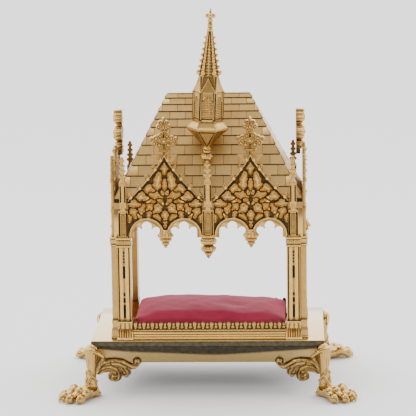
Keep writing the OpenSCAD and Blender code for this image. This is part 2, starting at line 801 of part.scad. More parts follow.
module turret_body() {
    color(GILT) on_turret() difference() {
        union() {
            translate([0, 0, rim_z]) cylinder(h = weather_h, r1 = rim_r - 1, r2 = turret_r, $fn = 6);
            translate([0, 0, rim_z + weather_h])
                cylinder(h = turret_face_z - rim_z - weather_h, r = turret_r, $fn = 6);
            translate([0, 0, turret_face_z])
                cylinder(h = spire_z - turret_face_z, r1 = turret_r + 0.8, r2 = spire_r + 0.5, $fn = 6);
        }
        tie_hole(hole_play);
    }
}

module turret_spire() {
    color(GILT) on_turret() difference() {
        translate([0, 0, spire_z])
            cylinder(h = spire_top_z - spire_z, r1 = spire_r, r2 = tie_r + 1.4, $fn = 6);
        tie_hole(hole_play);
    }
}

module turret_finial() {
    h = tip_z - spire_top_z;
    color(GILT) on_turret() difference() {
        rotate_extrude($fn = FINE)
            polygon([[0, spire_top_z], [2.9, spire_top_z], [3.6, spire_top_z + 0.08 * h],
                     [2.3, spire_top_z + 0.2 * h], [2.3, spire_top_z + 0.4 * h],
                     [4.9, spire_top_z + 0.56 * h], [4.6, spire_top_z + 0.68 * h],
                     [1.8, spire_top_z + 0.8 * h], [0, tip_z]]);
        tie_hole(thread_play);
    }
}

module turret_tie_rod() {
    color(STEEL) on_turret() translate([0, 0, tie_low_z + 0.5])
        cylinder(h = tie_high_z - tie_low_z - 1, r = tie_r, $fn = FINE);
}

// A stud that holds the turret off the roof, with a collar outside and a nut inside
module turret_stay() {
    color(STEEL) on_stay() {
        translate([0, 0, stay_from])
            cylinder(h = stay_len + roof_t + nut_h + 1 - stay_from, r = stay_r, $fn = FINE);
        translate([0, 0, stay_len - stay_collar_h])
            cylinder(h = stay_collar_h, r = stay_collar_r, $fn = FINE);
        translate([0, 0, stay_len + roof_t]) difference() {
            cylinder(h = nut_h, r = nut_r, $fn = 6);
            translate([0, 0, -1]) cylinder(h = nut_h + 2, r = stay_r + thread_play, $fn = FINE);
        }
    }
}

// ---------------------------------------------------------------- cushion

cushion_w = 2 * (half_w - core_in - post_grow - cushion_gap);
cushion_d = 2 * (half_d - rail_d - cushion_gap);

module cushion() {
    low_z = base_top + board_t;
    corner_r = 8;
    color(VELVET) on_canopy() hull() {
        for (x = [-1, 1], y = [-1, 1]) {
            translate([x * (cushion_w / 2 - corner_r), y * (cushion_d / 2 - corner_r), low_z])
                cylinder(h = cushion_side, r = corner_r, $fn = BLEND);
            translate([x * (cushion_w / 2 - 2.6 * corner_r), y * (cushion_d / 2 - 2.2 * corner_r), low_z])
                cylinder(h = cushion_top - low_z, r = corner_r, $fn = BLEND);
        }
    }
}

module cushion_board() {
    inset = 2;
    color(BOARD) on_canopy() translate([inset - cushion_w / 2, inset - cushion_d / 2, base_top])
        cube([cushion_w - 2 * inset, cushion_d - 2 * inset, board_t]);
}

base_top_plate();
base_skirt_front();
base_skirt_back();
base_skirt_left();
base_skirt_right();
foot_front_left();
foot_front_right();
foot_back_left();
foot_back_right();
foot_screws();
post_front_left();
post_front_right();
post_back_left();
post_back_right();
post_rods();
post_nuts();
rail_front();
rail_back();
rail_left();
rail_right();
gallery_front();
gallery_back();
gallery_left();
gallery_right();
buttress_front_left();
buttress_front_right();
buttress_back_left();
buttress_back_right();
mid_buttress_front();
mid_buttress_back();
gable_front_left();
gable_front_right();
gable_back_left();
gable_back_right();
gable_left();
gable_right();
finial_front_left();
finial_front_right();
finial_back_left();
finial_back_right();
finial_left();
finial_right();
eaves_bar_front();
eaves_bar_back();
eaves_bar_left();
eaves_bar_right();
gable_screws();
roof_front();
roof_back();
roof_left();
roof_right();
turret_knob();
turret_corbel();
turret_body();
turret_spire();
turret_finial();
turret_tie_rod();
turret_stay();
cushion();
cushion_board();
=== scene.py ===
"""A shrine-shaped monstrance in gilded brass: a plinth on four paw feet, an open canopy on clustered posts
with leafy gables, a steep stepped roof, a hexagonal turret and a velvet cushion. Lengths below are in
millimetres. The tarnish value holds tarnish together with painted shade, painted highlights and painted
reflections, and goes from 0, bright, to 1, dark."""

import math

import bmesh
import bpy
import numpy as np
from mathutils import Matrix, Vector


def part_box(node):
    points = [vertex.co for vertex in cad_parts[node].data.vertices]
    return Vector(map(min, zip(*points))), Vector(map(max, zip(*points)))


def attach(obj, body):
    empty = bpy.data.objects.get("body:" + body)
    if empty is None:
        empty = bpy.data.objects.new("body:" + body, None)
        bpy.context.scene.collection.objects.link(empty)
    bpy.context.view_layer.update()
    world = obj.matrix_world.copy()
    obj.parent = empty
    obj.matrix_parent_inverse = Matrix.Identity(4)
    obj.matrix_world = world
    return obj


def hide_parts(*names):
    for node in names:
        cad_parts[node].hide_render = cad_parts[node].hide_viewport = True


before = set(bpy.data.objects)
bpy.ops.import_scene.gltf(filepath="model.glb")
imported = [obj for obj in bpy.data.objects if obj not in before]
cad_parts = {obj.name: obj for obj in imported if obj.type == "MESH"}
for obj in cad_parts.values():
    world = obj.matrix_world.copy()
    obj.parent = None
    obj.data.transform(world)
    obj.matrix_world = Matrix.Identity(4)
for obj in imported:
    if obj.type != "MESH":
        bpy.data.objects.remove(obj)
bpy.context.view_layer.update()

MM = 0.001
SIDES = ("front", "back", "left", "right")
CORNERS = {
    f"{depth}_{side}": (side == "right", depth == "front")
    for side in ("left", "right") for depth in ("front", "back")
}


def cad(node):
    """Lowest and highest corner of a CAD node, in millimetres."""
    low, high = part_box(node)
    return [value / MM for value in low], [value / MM for value in high]


# ---------------------------------------------------------------- sizes read from the frame

PLATE_LOW, PLATE_HIGH = cad("base_top_plate")
BASE_W = PLATE_HIGH[0] - PLATE_LOW[0]
BASE_D = PLATE_HIGH[1] - PLATE_LOW[1]
BASE_TOP = PLATE_HIGH[2]
FASCIA_Z = PLATE_LOW[2]
SKIRT_Z = cad("base_skirt_front")[0][2]
SKIRT_T = 1.9
SKIRT_IN = cad("base_skirt_front")[1][1] - PLATE_LOW[1] - SKIRT_T
SKIRT_ANGLE = math.atan2(SKIRT_IN, FASCIA_Z - SKIRT_Z)

FRONT_Y = cad("gable_front_left")[0][1]
BACK_Y = cad("gable_back_left")[1][1]
LEFT_X = cad("gable_left")[0][0]
RIGHT_X = cad("gable_right")[1][0]
HALF_W = (RIGHT_X - LEFT_X) / 2
HALF_D = (BACK_Y - FRONT_Y) / 2
CANOPY = Matrix.Translation(((LEFT_X + RIGHT_X) / 2, (FRONT_Y + BACK_Y) / 2, 0))
TURNS = {"front": 0, "back": 180, "left": -90, "right": 90}
REACH = {"front": HALF_D, "back": HALF_D, "left": HALF_W, "right": HALF_W}

GABLE_LOW, GABLE_HIGH = cad("gable_front_right")
BAY_HALF = (GABLE_HIGH[0] - GABLE_LOW[0]) / 2
BAY_X = (GABLE_LOW[0] + GABLE_HIGH[0]) / 2 - (LEFT_X + RIGHT_X) / 2
PENDANT_Z = GABLE_LOW[2]
APEX_Z = 275.5
RAKE_Z = 222
SPRING_Z = 182
WALL_T = 4.5

POST_W = 15.75
PILASTER_T = 7
POST_FOOT_Z = 85
SHAFT_Z = 169.4
CAP_Z = 180
RAIL_Z = 73
GALLERY_Z = 84.5

TURRET_X = (LEFT_X + RIGHT_X) / 2
TURRET_Y = (cad("turret_body")[0][1] + cad("turret_body")[1][1]) / 2
TURRET_LEAN = 2.3
STAY_Z = 297
KNOB_Z = 262.8
CORBEL_Z = 279.6
RIM_Z = 301
RIM_R = 23.65
SPIRE_Z = 358
SPIRE_R = 11.5
SPIRE_TOP_Z = 407
TIP_Z = 432.4


def bay(side, x=0.0):
    """Places a form drawn as x across, y behind the front plane and z up on one side of the canopy."""
    turn = Matrix.Rotation(math.radians(TURNS[side]), 4, "Z")
    return CANOPY @ turn @ Matrix.Translation((x, -REACH[side], 0))


def mirrored(right, front):
    """Turns a front right corner piece, drawn about the middle, into another corner's."""
    return Matrix.Diagonal((1 if right else -1, 1 if front else -1, 1, 1))


def raised(profile, base):
    """A profile of (radius, height above base) in heights above the ground."""
    return [(radius, base + height) for radius, height in profile]


# ---------------------------------------------------------------- forms


class Form:
    """Vertices, faces and each vertex's tarnish and painted shade, gathered before they become a mesh."""

    def __init__(self):
        self.verts = []
        self.faces = []
        self.tarnish_and_shade = []

    def add(self, verts, faces, tarnish_and_shade=0.0, place=None):
        """Adds a shell. Its faces turn over where place mirrors it."""
        start = len(self.verts)
        if place is not None:
            verts = [place @ Vector(v) for v in verts]
            if place.determinant() < 0:
                faces = [tuple(reversed(f)) for f in faces]
        self.verts.extend(tuple(v) for v in verts)
        self.faces.extend(tuple(start + i for i in f) for f in faces)
        spread = np.broadcast_to(np.asarray(tarnish_and_shade, dtype=float), (len(verts),))
        self.tarnish_and_shade.extend(float(t) for t in spread)
        return self

    def join(self, other, place=None):
        """Adds another form."""
        return self.add(other.verts, other.faces, other.tarnish_and_shade, place)


def concavity(mesh, rounds=6):
    """How far each vertex lies below its smoothed surroundings, in metres."""
    count = len(mesh.vertices)
    points = np.empty(count * 3)
    mesh.vertices.foreach_get("co", points)
    points = points.reshape(-1, 3)
    normals = np.empty(count * 3)
    mesh.vertices.foreach_get("normal", normals)
    normals = normals.reshape(-1, 3)
    ends = np.empty(len(mesh.edges) * 2, dtype=int)
    mesh.edges.foreach_get("vertices", ends)
    ends = ends.reshape(-1, 2)
    near = np.bincount(ends.ravel(), minlength=count).clip(1)
    smooth = points.copy()
    for _ in range(rounds):
        total = np.zeros_like(smooth)
        for axis in range(3):
            total[:, axis] = np.bincount(ends[:, 0], smooth[ends[:, 1], axis], count)
            total[:, axis] += np.bincount(ends[:, 1], smooth[ends[:, 0], axis], count)
        smooth = (smooth + total / near[:, None]) / 2
    return ((smooth - points) * normals).sum(axis=1)


def added(name, data):
    """A new object in the scene."""
    made = bpy.data.objects.new(name, data)
    bpy.context.collection.objects.link(made)
    return made


def piece(name, form, finish, nodes, place=None, sharp=40, hollows=0.35):
    """Makes a form into a fixed, shown piece that stands for these CAD nodes. Edges sharper than the angle
    sharp stay crisp. hollows is the depth, in millimetres, at which a hollow is fully darkened, with patina
    and painted shade."""
    whole = Form().join(form, place)
    mesh = bpy.data.meshes.new(name)
    mesh.from_pydata((np.asarray(whole.verts) * MM).tolist(), [], whole.faces)
    mesh.validate()
    mesh.update()
    mesh.shade_smooth()
    mesh.set_sharp_from_angle(angle=math.radians(sharp))
    values = np.asarray(whole.tarnish_and_shade)
    if hollows and len(values) == len(mesh.vertices):
        # Hollows are darkened by their depth below the smoothed surface: patina together with painted shade.
        values = np.maximum(values, (concavity(mesh) / MM / hollows).clip(0, 1))
    layer = mesh.attributes.new("tarnish_and_shade", "FLOAT", "POINT")
    layer.data.foreach_set("value", values.astype(np.float32))
    made = added(name, mesh)
    dress(made, finish)
    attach(made, "shrine")
    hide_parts(*nodes)


def dress(made, finish):
    """Gives a piece one material."""
    material, slot = FINISHES[finish]
    made.data.materials.clear()
    made.data.materials.append(material)


def tube(count, rings, spans=None):
    """Faces of a tube of rings of count points each, with both ends closed. spans is how many of the gaps
    between a ring's points are filled, or all of them."""
    faces = []
    for ring in range(rings - 1):
        low, high = ring * count, (ring + 1) * count
        for i in range(spans or count):
            j = (i + 1) % count
            faces.append((low + i, low + j, high + j, high + i))
    faces.append(tuple(reversed(range(count))))
    faces.append(tuple(range((rings - 1) * count, rings * count)))
    return faces


def prism(outline, start, end):
    """A straight bar along x whose outline is a ring of (y, z) points."""
    verts = [(x, y, z) for x in (start, end) for y, z in outline]
    return outward(Form().add(verts, tube(len(outline), 2)))


def turned_out(form):
    """A form as an editable mesh with every face of a closed shell turned outwards."""
    mesh = bmesh.new()
    made = [mesh.verts.new(v) for v in form.verts]
    for face in form.faces:
        mesh.faces.new([made[i] for i in face])
    bmesh.ops.recalc_face_normals(mesh, faces=mesh.faces)
    return mesh


def outward(form):
    """Turns every face of a closed form outwards."""
    mesh = turned_out(form)
    mesh.verts.index_update()
    form.faces = [tuple(v.index for v in face.verts) for face in mesh.faces]
    mesh.free()
    return form


def bevelled(form, width, segments=2, angle=30):
    """Rounds the edges of a closed form that are sharper than angle."""
    mesh = turned_out(form)
    sharp = [e for e in mesh.edges if len(e.link_faces) == 2 and e.calc_face_angle(0) > math.radians(angle)]
    bmesh.ops.bevel(mesh, geom=sharp, offset=width, segments=segments, profile=0.5, affect="EDGES")
    mesh.verts.index_update()
    faces = [tuple(v.index for v in face.verts) for face in mesh.faces]
    result = Form().add([tuple(v.co) for v in mesh.verts], faces)
    mesh.free()
    return result


def block(low, high):
    """A box between two corners."""
    verts = [(x, y, z) for x in (low[0], high[0]) for y in (low[1], high[1]) for z in (low[2], high[2])]
    faces = [(0, 1, 3, 2), (4, 6, 7, 5), (0, 4, 5, 1), (2, 3, 7, 6), (0, 2, 6, 4), (1, 5, 7, 3)]
    return Form().add(verts, faces)


def lathe(profile, around=40, turn=360, axis=(0.0, 0.0), lobes=0, lobe_depth=0.0):
    """A turned form from a list of (radius, z), on the front half only where turn is 180. Its rings may be
    scalloped by lobes."""
    whole = turn == 360
    count = around if whole else around + 1
    angles = [math.radians(-180 + turn * i / around) for i in range(count)]
    verts = []
    for radius, z in profile:
        for a in angles:
            r = radius * (1 - lobe_depth * (0.5 - 0.5 * math.cos(lobes * a)))
            verts.append((axis[0] + r * math.cos(a), axis[1] + r * math.sin(a), z))
    faces = tube(count, len(profile), around)
    if not whole:
        starts = range(0, len(verts), count)
        faces.append(tuple(starts) + tuple(start + around for start in reversed(starts)))
    return outward(Form().add(verts, faces))


def ball(centre, radii, turn=None, around=16, rings=10):
    """An ellipsoid with a point at each pole."""
    verts = [(0, 0, -1)]
    for ring in range(1, rings):
        a = math.pi * ring / rings
        for i in range(around):
            b = 2 * math.pi * i / around
            verts.append((math.sin(a) * math.cos(b), math.sin(a) * math.sin(b), -math.cos(a)))
    verts.append((0, 0, 1))
    faces = [(0, 1 + (i + 1) % around, 1 + i) for i in range(around)]
    for ring in range(rings - 2):
        low = 1 + ring * around
        for i in range(around):
            j = (i + 1) % around
            faces.append((low + i, low + j, low + around + j, low + around + i))
    top, last = len(verts) - 1, 1 + (rings - 2) * around
    faces += [(top, last + i, last + (i + 1) % around) for i in range(around)]
    place = Matrix.Translation(centre) @ (turn or Matrix()) @ Matrix.Diagonal((*radii, 1))
    return Form().add(verts, faces, 0.0, place)


def limb(points, radii, around=14):
    """A round limb through these points, swelling to these radii, with rounded ends."""
    spine = np.asarray(points, dtype=float)
    steps = np.linspace(0, len(points) - 1, 6 * (len(points) - 1) + 1)
    index = np.arange(len(points))
    path = np.stack([np.interp(steps, index, spine[:, k]) for k in range(3)], axis=1)
    for _ in range(3):
        path[1:-1] = (path[:-2] + 2 * path[1:-1] + path[2:]) / 4
    sizes = np.interp(steps, index, radii)
    verts = []
    side = None
    for k, centre in enumerate(path):
        along = Vector(path[min(k + 1, len(path) - 1)] - path[max(k - 1, 0)]).normalized()
        if side is None:
            side = along.orthogonal().normalized()
        side = (side - along * side.dot(along)).normalized()
        across = along.cross(side)
        for i in range(around):
            a = 2 * math.pi * i / around
            verts.append(tuple(Vector(centre) + (side * math.cos(a) + across * math.sin(a)) * sizes[k]))
    form = Form().add(verts, tube(around, len(path)))
    form.join(ball(path[0], [sizes[0]] * 3, around=around))
    form.join(ball(path[-1], [sizes[-1]] * 3, around=around))
    return form


def fused(form, voxel, smooth=2):
    """Melts overlapping shells into one skin."""
    mesh = bpy.data.meshes.new("melt")
    mesh.from_pydata(form.verts, [], form.faces)
    made = added("melt", mesh)
    melt = made.modifiers.new("melt", "REMESH")
    melt.mode = "VOXEL"
    melt.voxel_size = voxel
    soften = made.modifiers.new("soften", "SMOOTH")
    soften.factor = 0.5
    soften.iterations = smooth
    deps = bpy.context.evaluated_depsgraph_get()
    skin = made.evaluated_get(deps).to_mesh()
    faces = [tuple(p.vertices) for p in skin.polygons]
    result = Form().add([tuple(v.co) for v in skin.vertices], faces)
    bpy.data.objects.remove(made)
    bpy.data.meshes.remove(mesh)
    return result


# ---------------------------------------------------------------- relief castings


def disc(x, z, cx, cz, r):
    """Signed distance outside a circle."""
    return np.hypot(x - cx, z - cz) - r


def slab(x, z, cx, cz, half_x, half_z):
    """Signed distance outside an upright rectangle."""
    dx = np.abs(x - cx) - half_x
    dz = np.abs(z - cz) - half_z
    return np.hypot(dx.clip(0), dz.clip(0)) + np.minimum(np.maximum(dx, dz), 0)


def stroke(x, z, points, widths):
    """Signed distance outside a tapering stroke through these points."""
    result = np.full(np.shape(x), 1e3)
    for (ax, az), (bx, bz), wa, wb in zip(points, points[1:], widths, widths[1:]):
        length = (bx - ax) ** 2 + (bz - az) ** 2
        t = (((x - ax) * (bx - ax) + (z - az) * (bz - az)) / length).clip(0, 1)
        away = np.hypot(x - ax - t * (bx - ax), z - az - t * (bz - az))
        result = np.minimum(result, away - (wa + t * (wb - wa)))
    return result


def step(value, start, end):
    """Rises smoothly from 0 at start to 1 at end."""
    t = np.clip((value - start) / (end - start), 0, 1)
    return t * t * (3 - 2 * t)


def bump(value, centre, width):
    """A rounded ridge of height 1."""
    return np.exp(-(((value - centre) / width) ** 2))


def blend(value, other, weight):
    """Goes from value to other with a weight from 0 to 1."""
    return value + (other - value) * weight


def rounded(outside, radius):
    """How far a face drops at its rounded edge."""
    inside = (-outside).clip(0, radius)
    return radius - np.sqrt(radius**2 - (radius - inside) ** 2)


def relief(field, low, high, back, pitch=0.5):
    """A flat-backed casting. field(x, z) gives the signed distance outside its outline, the depth of its face
    behind the front plane and its tarnish and painted shade; back is the depth of its back."""
    across = max(2, math.ceil((high[0] - low[0]) / pitch))
    up = max(2, math.ceil((high[1] - low[1]) / pitch))
    xs = np.linspace(low[0], high[0], across + 1)
    zs = np.linspace(low[1], high[1], up + 1)
    outside = field(*np.meshgrid(xs, zs, indexing="ij"))[0]
    outside[[0, -1], :] = np.maximum(outside[[0, -1], :], 0.01)
    outside[:, [0, -1]] = np.maximum(outside[:, [0, -1]], 0.01)
    solid = outside < 0
    used = solid[:-1, :-1] | solid[1:, :-1] | solid[1:, 1:] | solid[:-1, 1:]
    points = []
    index = {}

    def at_corner(a):
        if a not in index:
            index[a] = len(points)
            points.append((xs[a[0]], zs[a[1]]))
        return index[a]

    def at_crossing(a, b):
        key = (a, b) if a < b else (b, a)
        if key not in index:
            (i, j), (k, m) = key
            t = outside[i, j] / (outside[i, j] - outside[k, m])
            t = min(max(t, 0.05), 0.95)
            index[key] = len(points)
            points.append((xs[i] + t * (xs[k] - xs[i]), zs[j] + t * (zs[m] - zs[j])))
        return index[key]

    fronts, rims = [], []
    for i, j in np.argwhere(used).tolist():
        ring = [(i, j), (i + 1, j), (i + 1, j + 1), (i, j + 1)]
        outline = []
        left_at = None
        entered_at = None
        for a, b in zip(ring, ring[1:] + ring[:1]):
            if solid[a]:
                outline.append(at_corner(a))
            if solid[a] == solid[b]:
                continue
            here = at_crossing(a, b)
            outline.append(here)
            if solid[a]:
                left_at = here
            elif left_at is not None:
                rims.append((left_at, here))
                left_at = None
            else:
                entered_at = here
        if left_at is not None:
            rims.append((left_at, entered_at))
        fronts.append(tuple(outline))
    count = len(points)
    x, z = np.asarray(points).T
    _, depth, tarnish_and_shade = field(x, z)
    depth = np.minimum(depth, back - 0.3)
    verts = list(zip(x, depth, z)) + list(zip(x, np.full(count, back), z))
    backs = [tuple(count + i for i in reversed(f)) for f in fronts]
    walls = [(b, a, count + a, count + b) for a, b in rims]
    shade = np.concatenate([np.broadcast_to(tarnish_and_shade, (count,)), np.full(count, 0.6)])
    return Form().add(verts, fronts + backs + walls, shade)


def leaf(x, z, cx, cz, length, width, angle, lobes):
    """Signed distance outside a lobed leaf."""
    c, s = math.cos(math.radians(angle)), math.sin(math.radians(angle))
    u = (x - cx) * c + (z - cz) * s
    v = (z - cz) * c - (x - cx) * s
    half = length / 2
    result = stroke(u, v, [(-half + width * 0.2, 0), (half - width * 0.34, 0)], [width * 0.2, width * 0.34])
    for k in range(lobes):
        at = half * (0.12 - 0.62 * k)
        for side in (-1, 1):
            result = np.minimum(result, disc(u, v, at, side * width * 0.25, width * 0.27))
    return result


# Leaves of half a gable: across from its middle, height, length, width, angle, lobes
GABLE_LEAVES = [
    (0.0, 257.0, 12, 6.4, 90, 1),
    (7.6, 243.5, 19, 7.6, 98, 2),
    (0.0, 238.5, 13, 6.0, 90, 0),
    (17.4, 235.0, 15, 8.4, 26, 1),
    (9.8, 227.6, 14, 7.4, 18, 1),
    (25.6, 226.4, 18, 8.6, 30, 1),
    (33.6, 217.8, 14, 7.4, 14, 1),
    (25.4, 211.6, 12, 6.4, 116, 1),
    (34.4, 207.6, 11, 7.4, 68, 1),
    (17.6, 214.0, 10, 7.0, 138, 1),
    (17.8, 206.4, 7, 5.6, 96, 0),
    (8.4, 212.4, 12, 8.2, 126, 1),
    (4.4, 220.4, 8, 5.2, 62, 0),
    (0.0, 204.4, 10, 6.4, 90, 1),
    (8.6, 203.4, 8, 5.6, 40, 0),
    (16.0, 221.0, 9, 5.0, 8, 0),
    (2.6, 229.6, 6, 3.6, 110, 0),
    (13.0, 250.0, 5, 3.6, 120, 0),
    (33.2, 230.4, 5, 3.6, 130, 0),
    (39.0, 201.6, 8, 4.4, 95, 0),
    (0.0, 195.2, 7, 3.6, 90, 0),
    (28.6, 204.8, 6, 4.0, 60, 0),
]
# How far every leaf grows beyond the list's size, and the groove left between two neighbours
LEAF_GROWTH = 1.5
LEAF_GAP = 0.55
# The middle of a gable's right arch, and how many crockets climb each raking edge
ARCH_X = BAY_HALF / 2
BUD_COUNT = 5


def rake_half(z):
    """Half the width between a gable's raking edges: they curve inwards towards the apex."""
    rise = ((z - RAKE_Z) / (APEX_Z - RAKE_Z)).clip(0, 1)
    return BAY_HALF * (1 - rise) ** 1.35


def arch_opening(x, z):
    """Signed distance outside a cusped arch centred at x = 0."""
    x = np.abs(x)
    result = disc(x, z, 0, 192.4, 5.6)
    result = np.minimum(result, disc(x, z, 10.2, 187.7, 4.3))
    result = np.minimum(result, slab(x, z, 0, SPRING_Z - 10, 10.2, 17.8))
    return np.minimum(result, slab(x, z, 0, SPRING_Z - 10, 14.4, 15.7))


def gable_field(x, z):
    """Face of one gable."""
    x = np.abs(x)
    slope = BAY_HALF * 1.2 / (APEX_Z - RAKE_Z)
    rake = (x - rake_half(z)) / math.hypot(1, slope)
    rake = np.where(z < RAKE_Z, x - BAY_HALF + 0.05, rake)
    opening = arch_opening(x - ARCH_X, z)
    outside = np.maximum.reduce([rake, CAP_Z - z, z - APEX_Z, -opening])
    edges = [leaf(x, z, *spec) for spec in GABLE_LEAVES]
    edges += [leaf(-x, z, *spec) for spec in GABLE_LEAVES if 0 < spec[0] < 6]
    nearest, second = np.sort(edges, axis=0)[:2]
    edge = np.maximum(nearest - LEAF_GROWTH, (LEAF_GAP - (second - nearest)) / 2)
    edge = np.maximum(edge, (rake + 3.2) * (z > RAKE_Z - 3) - 9 * (z <= RAKE_Z - 3))
    depth = 2.5 - 1.7 * bump(edge, -0.75, 0.55) - 0.5 * step(edge, -2.0, -3.4)
    depth = blend(depth, 3.8, step(edge, -0.1, 0.3))
    # Leaf ridges are painted bright as painted highlights, while the grooves, the bowls' rims and the ground
    # beyond the leaves are painted dark as painted shade.
    tarnish_and_shade = 0.3 - 0.5 * bump(edge, -0.75, 0.7) + 0.12 * bump(edge, -1.8, 0.6) - 0.2 * step(edge, -2.0, -3.4)
    tarnish_and_shade = blend(tarnish_and_shade, 0.93, step(edge, -0.05, 0.3))
    arch = disc(x, z, ARCH_X, SPRING_Z + 0.4, 19.7)
    inside = step(arch, 0.25, -0.25)
    hollow = 1.2 + 0.9 * bump(arch, -2.6, 1.3) - 0.35 * bump(arch, -4.6, 0.5)
    depth = blend(depth, hollow + 0.9 * rounded(-opening, 1.0), inside)
    # A darker ring in the arch's hollow is painted shade.
    tarnish_and_shade = blend(tarnish_and_shade, 0.12 + 0.3 * bump(arch, -2.6, 1.2), inside)
    fillet = step(rake, -1.3, -0.9) * (z > RAKE_Z - 1)
    depth = blend(depth, 0.9 + rounded(rake, 0.6), fillet)
    tarnish_and_shade = tarnish_and_shade * (1 - fillet)
    for k in range(BUD_COUNT):
        height = RAKE_Z + 4 + (APEX_Z - RAKE_Z - 12) * k / (BUD_COUNT - 1)
        bx = float(rake_half(np.asarray(height))) + 2.2
        bud = np.minimum(disc(x, z, bx, height + 1.8, 2.3), disc(x, z, bx - 1.8, height - 1.0, 1.7))
        curl = disc(x, z, bx + 0.3, height + 1.6, 0.0)
        face = -0.9 + 1.6 * (curl / 2.4).clip(0, 1) ** 2 + 1.1 * bump(curl, 1.25, 0.35)
        near = step(bud, 0.1, -0.1)
        depth = blend(depth, face, near)
        # A dark ring round each bud's curl is painted shade.
        tarnish_and_shade = blend(tarnish_and_shade, 0.5 * bump(curl, 1.2, 0.4), near)
        outside = np.minimum(outside, bud)
    return outside, depth, tarnish_and_shade


# Half-round pendants as (radius, height above the tip), and how far one sinks into the casting's back
PENDANT = [
    (0.3, 0), (1.3, 0.7), (2.1, 2.0), (2.3, 3.0), (3.4, 3.6), (4.5, 4.6), (4.4, 5.8), (3.7, 6.6), (4.8, 7.4),
    (6.6, 8.6), (6.9, 9.8), (6.0, 10.8), (7.0, 11.6), (8.8, 13.0), (8.9, 14.6), (7.6, 16.0), (6.6, 17.0),
    (6.2, 18.5), (5.0, 21),
]
MIDDLE_PENDANT = [
    (0.3, 0), (1.6, 1.2), (3.0, 3.4), (4.4, 5.6), (4.8, 7.0), (5.4, 7.8), (7.4, 8.8), (8.7, 10.6),
    (8.4, 12.4), (6.6, 13.8), (5.4, 14.8), (5.6, 15.6), (7.6, 16.6), (9.0, 18.6), (9.1, 20.6),
    (8.0, 22.4), (7.4, 23.6), (8.4, 24.6), (8.5, 26.2), (7.0, 27.2),
]
SINK = 0.2


def gable_form():
    """A gable with its small pendant."""
    form = relief(gable_field, (-BAY_HALF - 4.2, CAP_Z - 0.4), (BAY_HALF + 4.2, APEX_Z + 0.4), WALL_T, 0.4)
    profile = raised(PENDANT, PENDANT_Z)
    form.join(lathe(profile, 64, 180, (0, WALL_T - SINK), 16, 0.14))
    return form


def finial_field(x, z):
    """Face of a gable's finial. Its parts have an outline, the depth of the face, its tarnish and painted
    shade, and how much it swells."""
    x = np.abs(x)
    shoulder = np.maximum.reduce([np.abs(z - 268.8) - 3.9, x - 14.4 + (272.7 - z) * 0.7, 2.0 - x])
    parts = [
        (shoulder, 3.0, 0.3, 0.0),
        (stroke(x, z, [(0, 272), (0, 305)], [2.6, 1.6]), 0.4, 0.15, 1.0),
        (stroke(x, z, [(0, 277.6), (5.6, 277.8)], [1.9, 1.6]), -1.2, 0.0, 1.0),
        (disc(x, z, 5.0, 283.8, 3.7), -1.0, 0.1, 1.0),
        (disc(x, z, 10.2, 285.6, 3.4), -1.8, 0.0, 1.0),
        (disc(x, z, 13.0, 290.2, 2.9), -1.4, 0.0, 1.0),
        (disc(x, z, 8.4, 291.2, 3.5), -2.0, 0.05, 1.0),
        (disc(x, z, 3.8, 293.6, 3.3), -1.4, 0.1, 1.0),
        (disc(x, z, 0, 288.4, 3.8), -2.8, 0.0, 1.0),
        (stroke(x, z, [(0, 299.2), (3.0, 299.2)], [1.4, 1.1]), -0.6, 0.1, 1.0),
        (disc(x, z, 5.2, 303.8, 3.3), -1.8, 0.0, 1.0),
        (disc(x, z, 3.2, 308.4, 3.0), -1.6, 0.1, 1.0),
        (stroke(x, z, [(0, 303), (0, 313.2)], [3.2, 1.6]), -2.4, 0.0, 1.0),
    ]
    outside = np.full(np.shape(x), 1e3)
    depth = np.full(np.shape(x), 3.6)
    # The ground between the parts is painted fully dark as painted shade.
    tarnish_and_shade = np.ones(np.shape(x))
    for edge, top, shade, curve in parts:
        face = top + curve * (1.3 * rounded(edge, 2.4) + 1.1 * bump(edge, -1.7, 0.45))
        here = step(edge, 0.45, 0.05)
        lower = face < depth
        # Each part darkens in the groove just inside its edge: painted shade.
        tone = shade + 0.7 * curve * bump(edge, -1.7, 0.5)
        tarnish_and_shade = np.where(lower, blend(tarnish_and_shade, tone, here), tarnish_and_shade)
        depth = np.where(lower, blend(depth, face, here), depth)
        outside = np.minimum(outside, edge)
    return outside, depth, tarnish_and_shade


def deep_finial_field(x, z):
    """Face of an end gable's finial, which stands further into the building."""
    outside, depth, tarnish_and_shade = finial_field(x, z)
    return outside, depth + 3.6, tarnish_and_shade


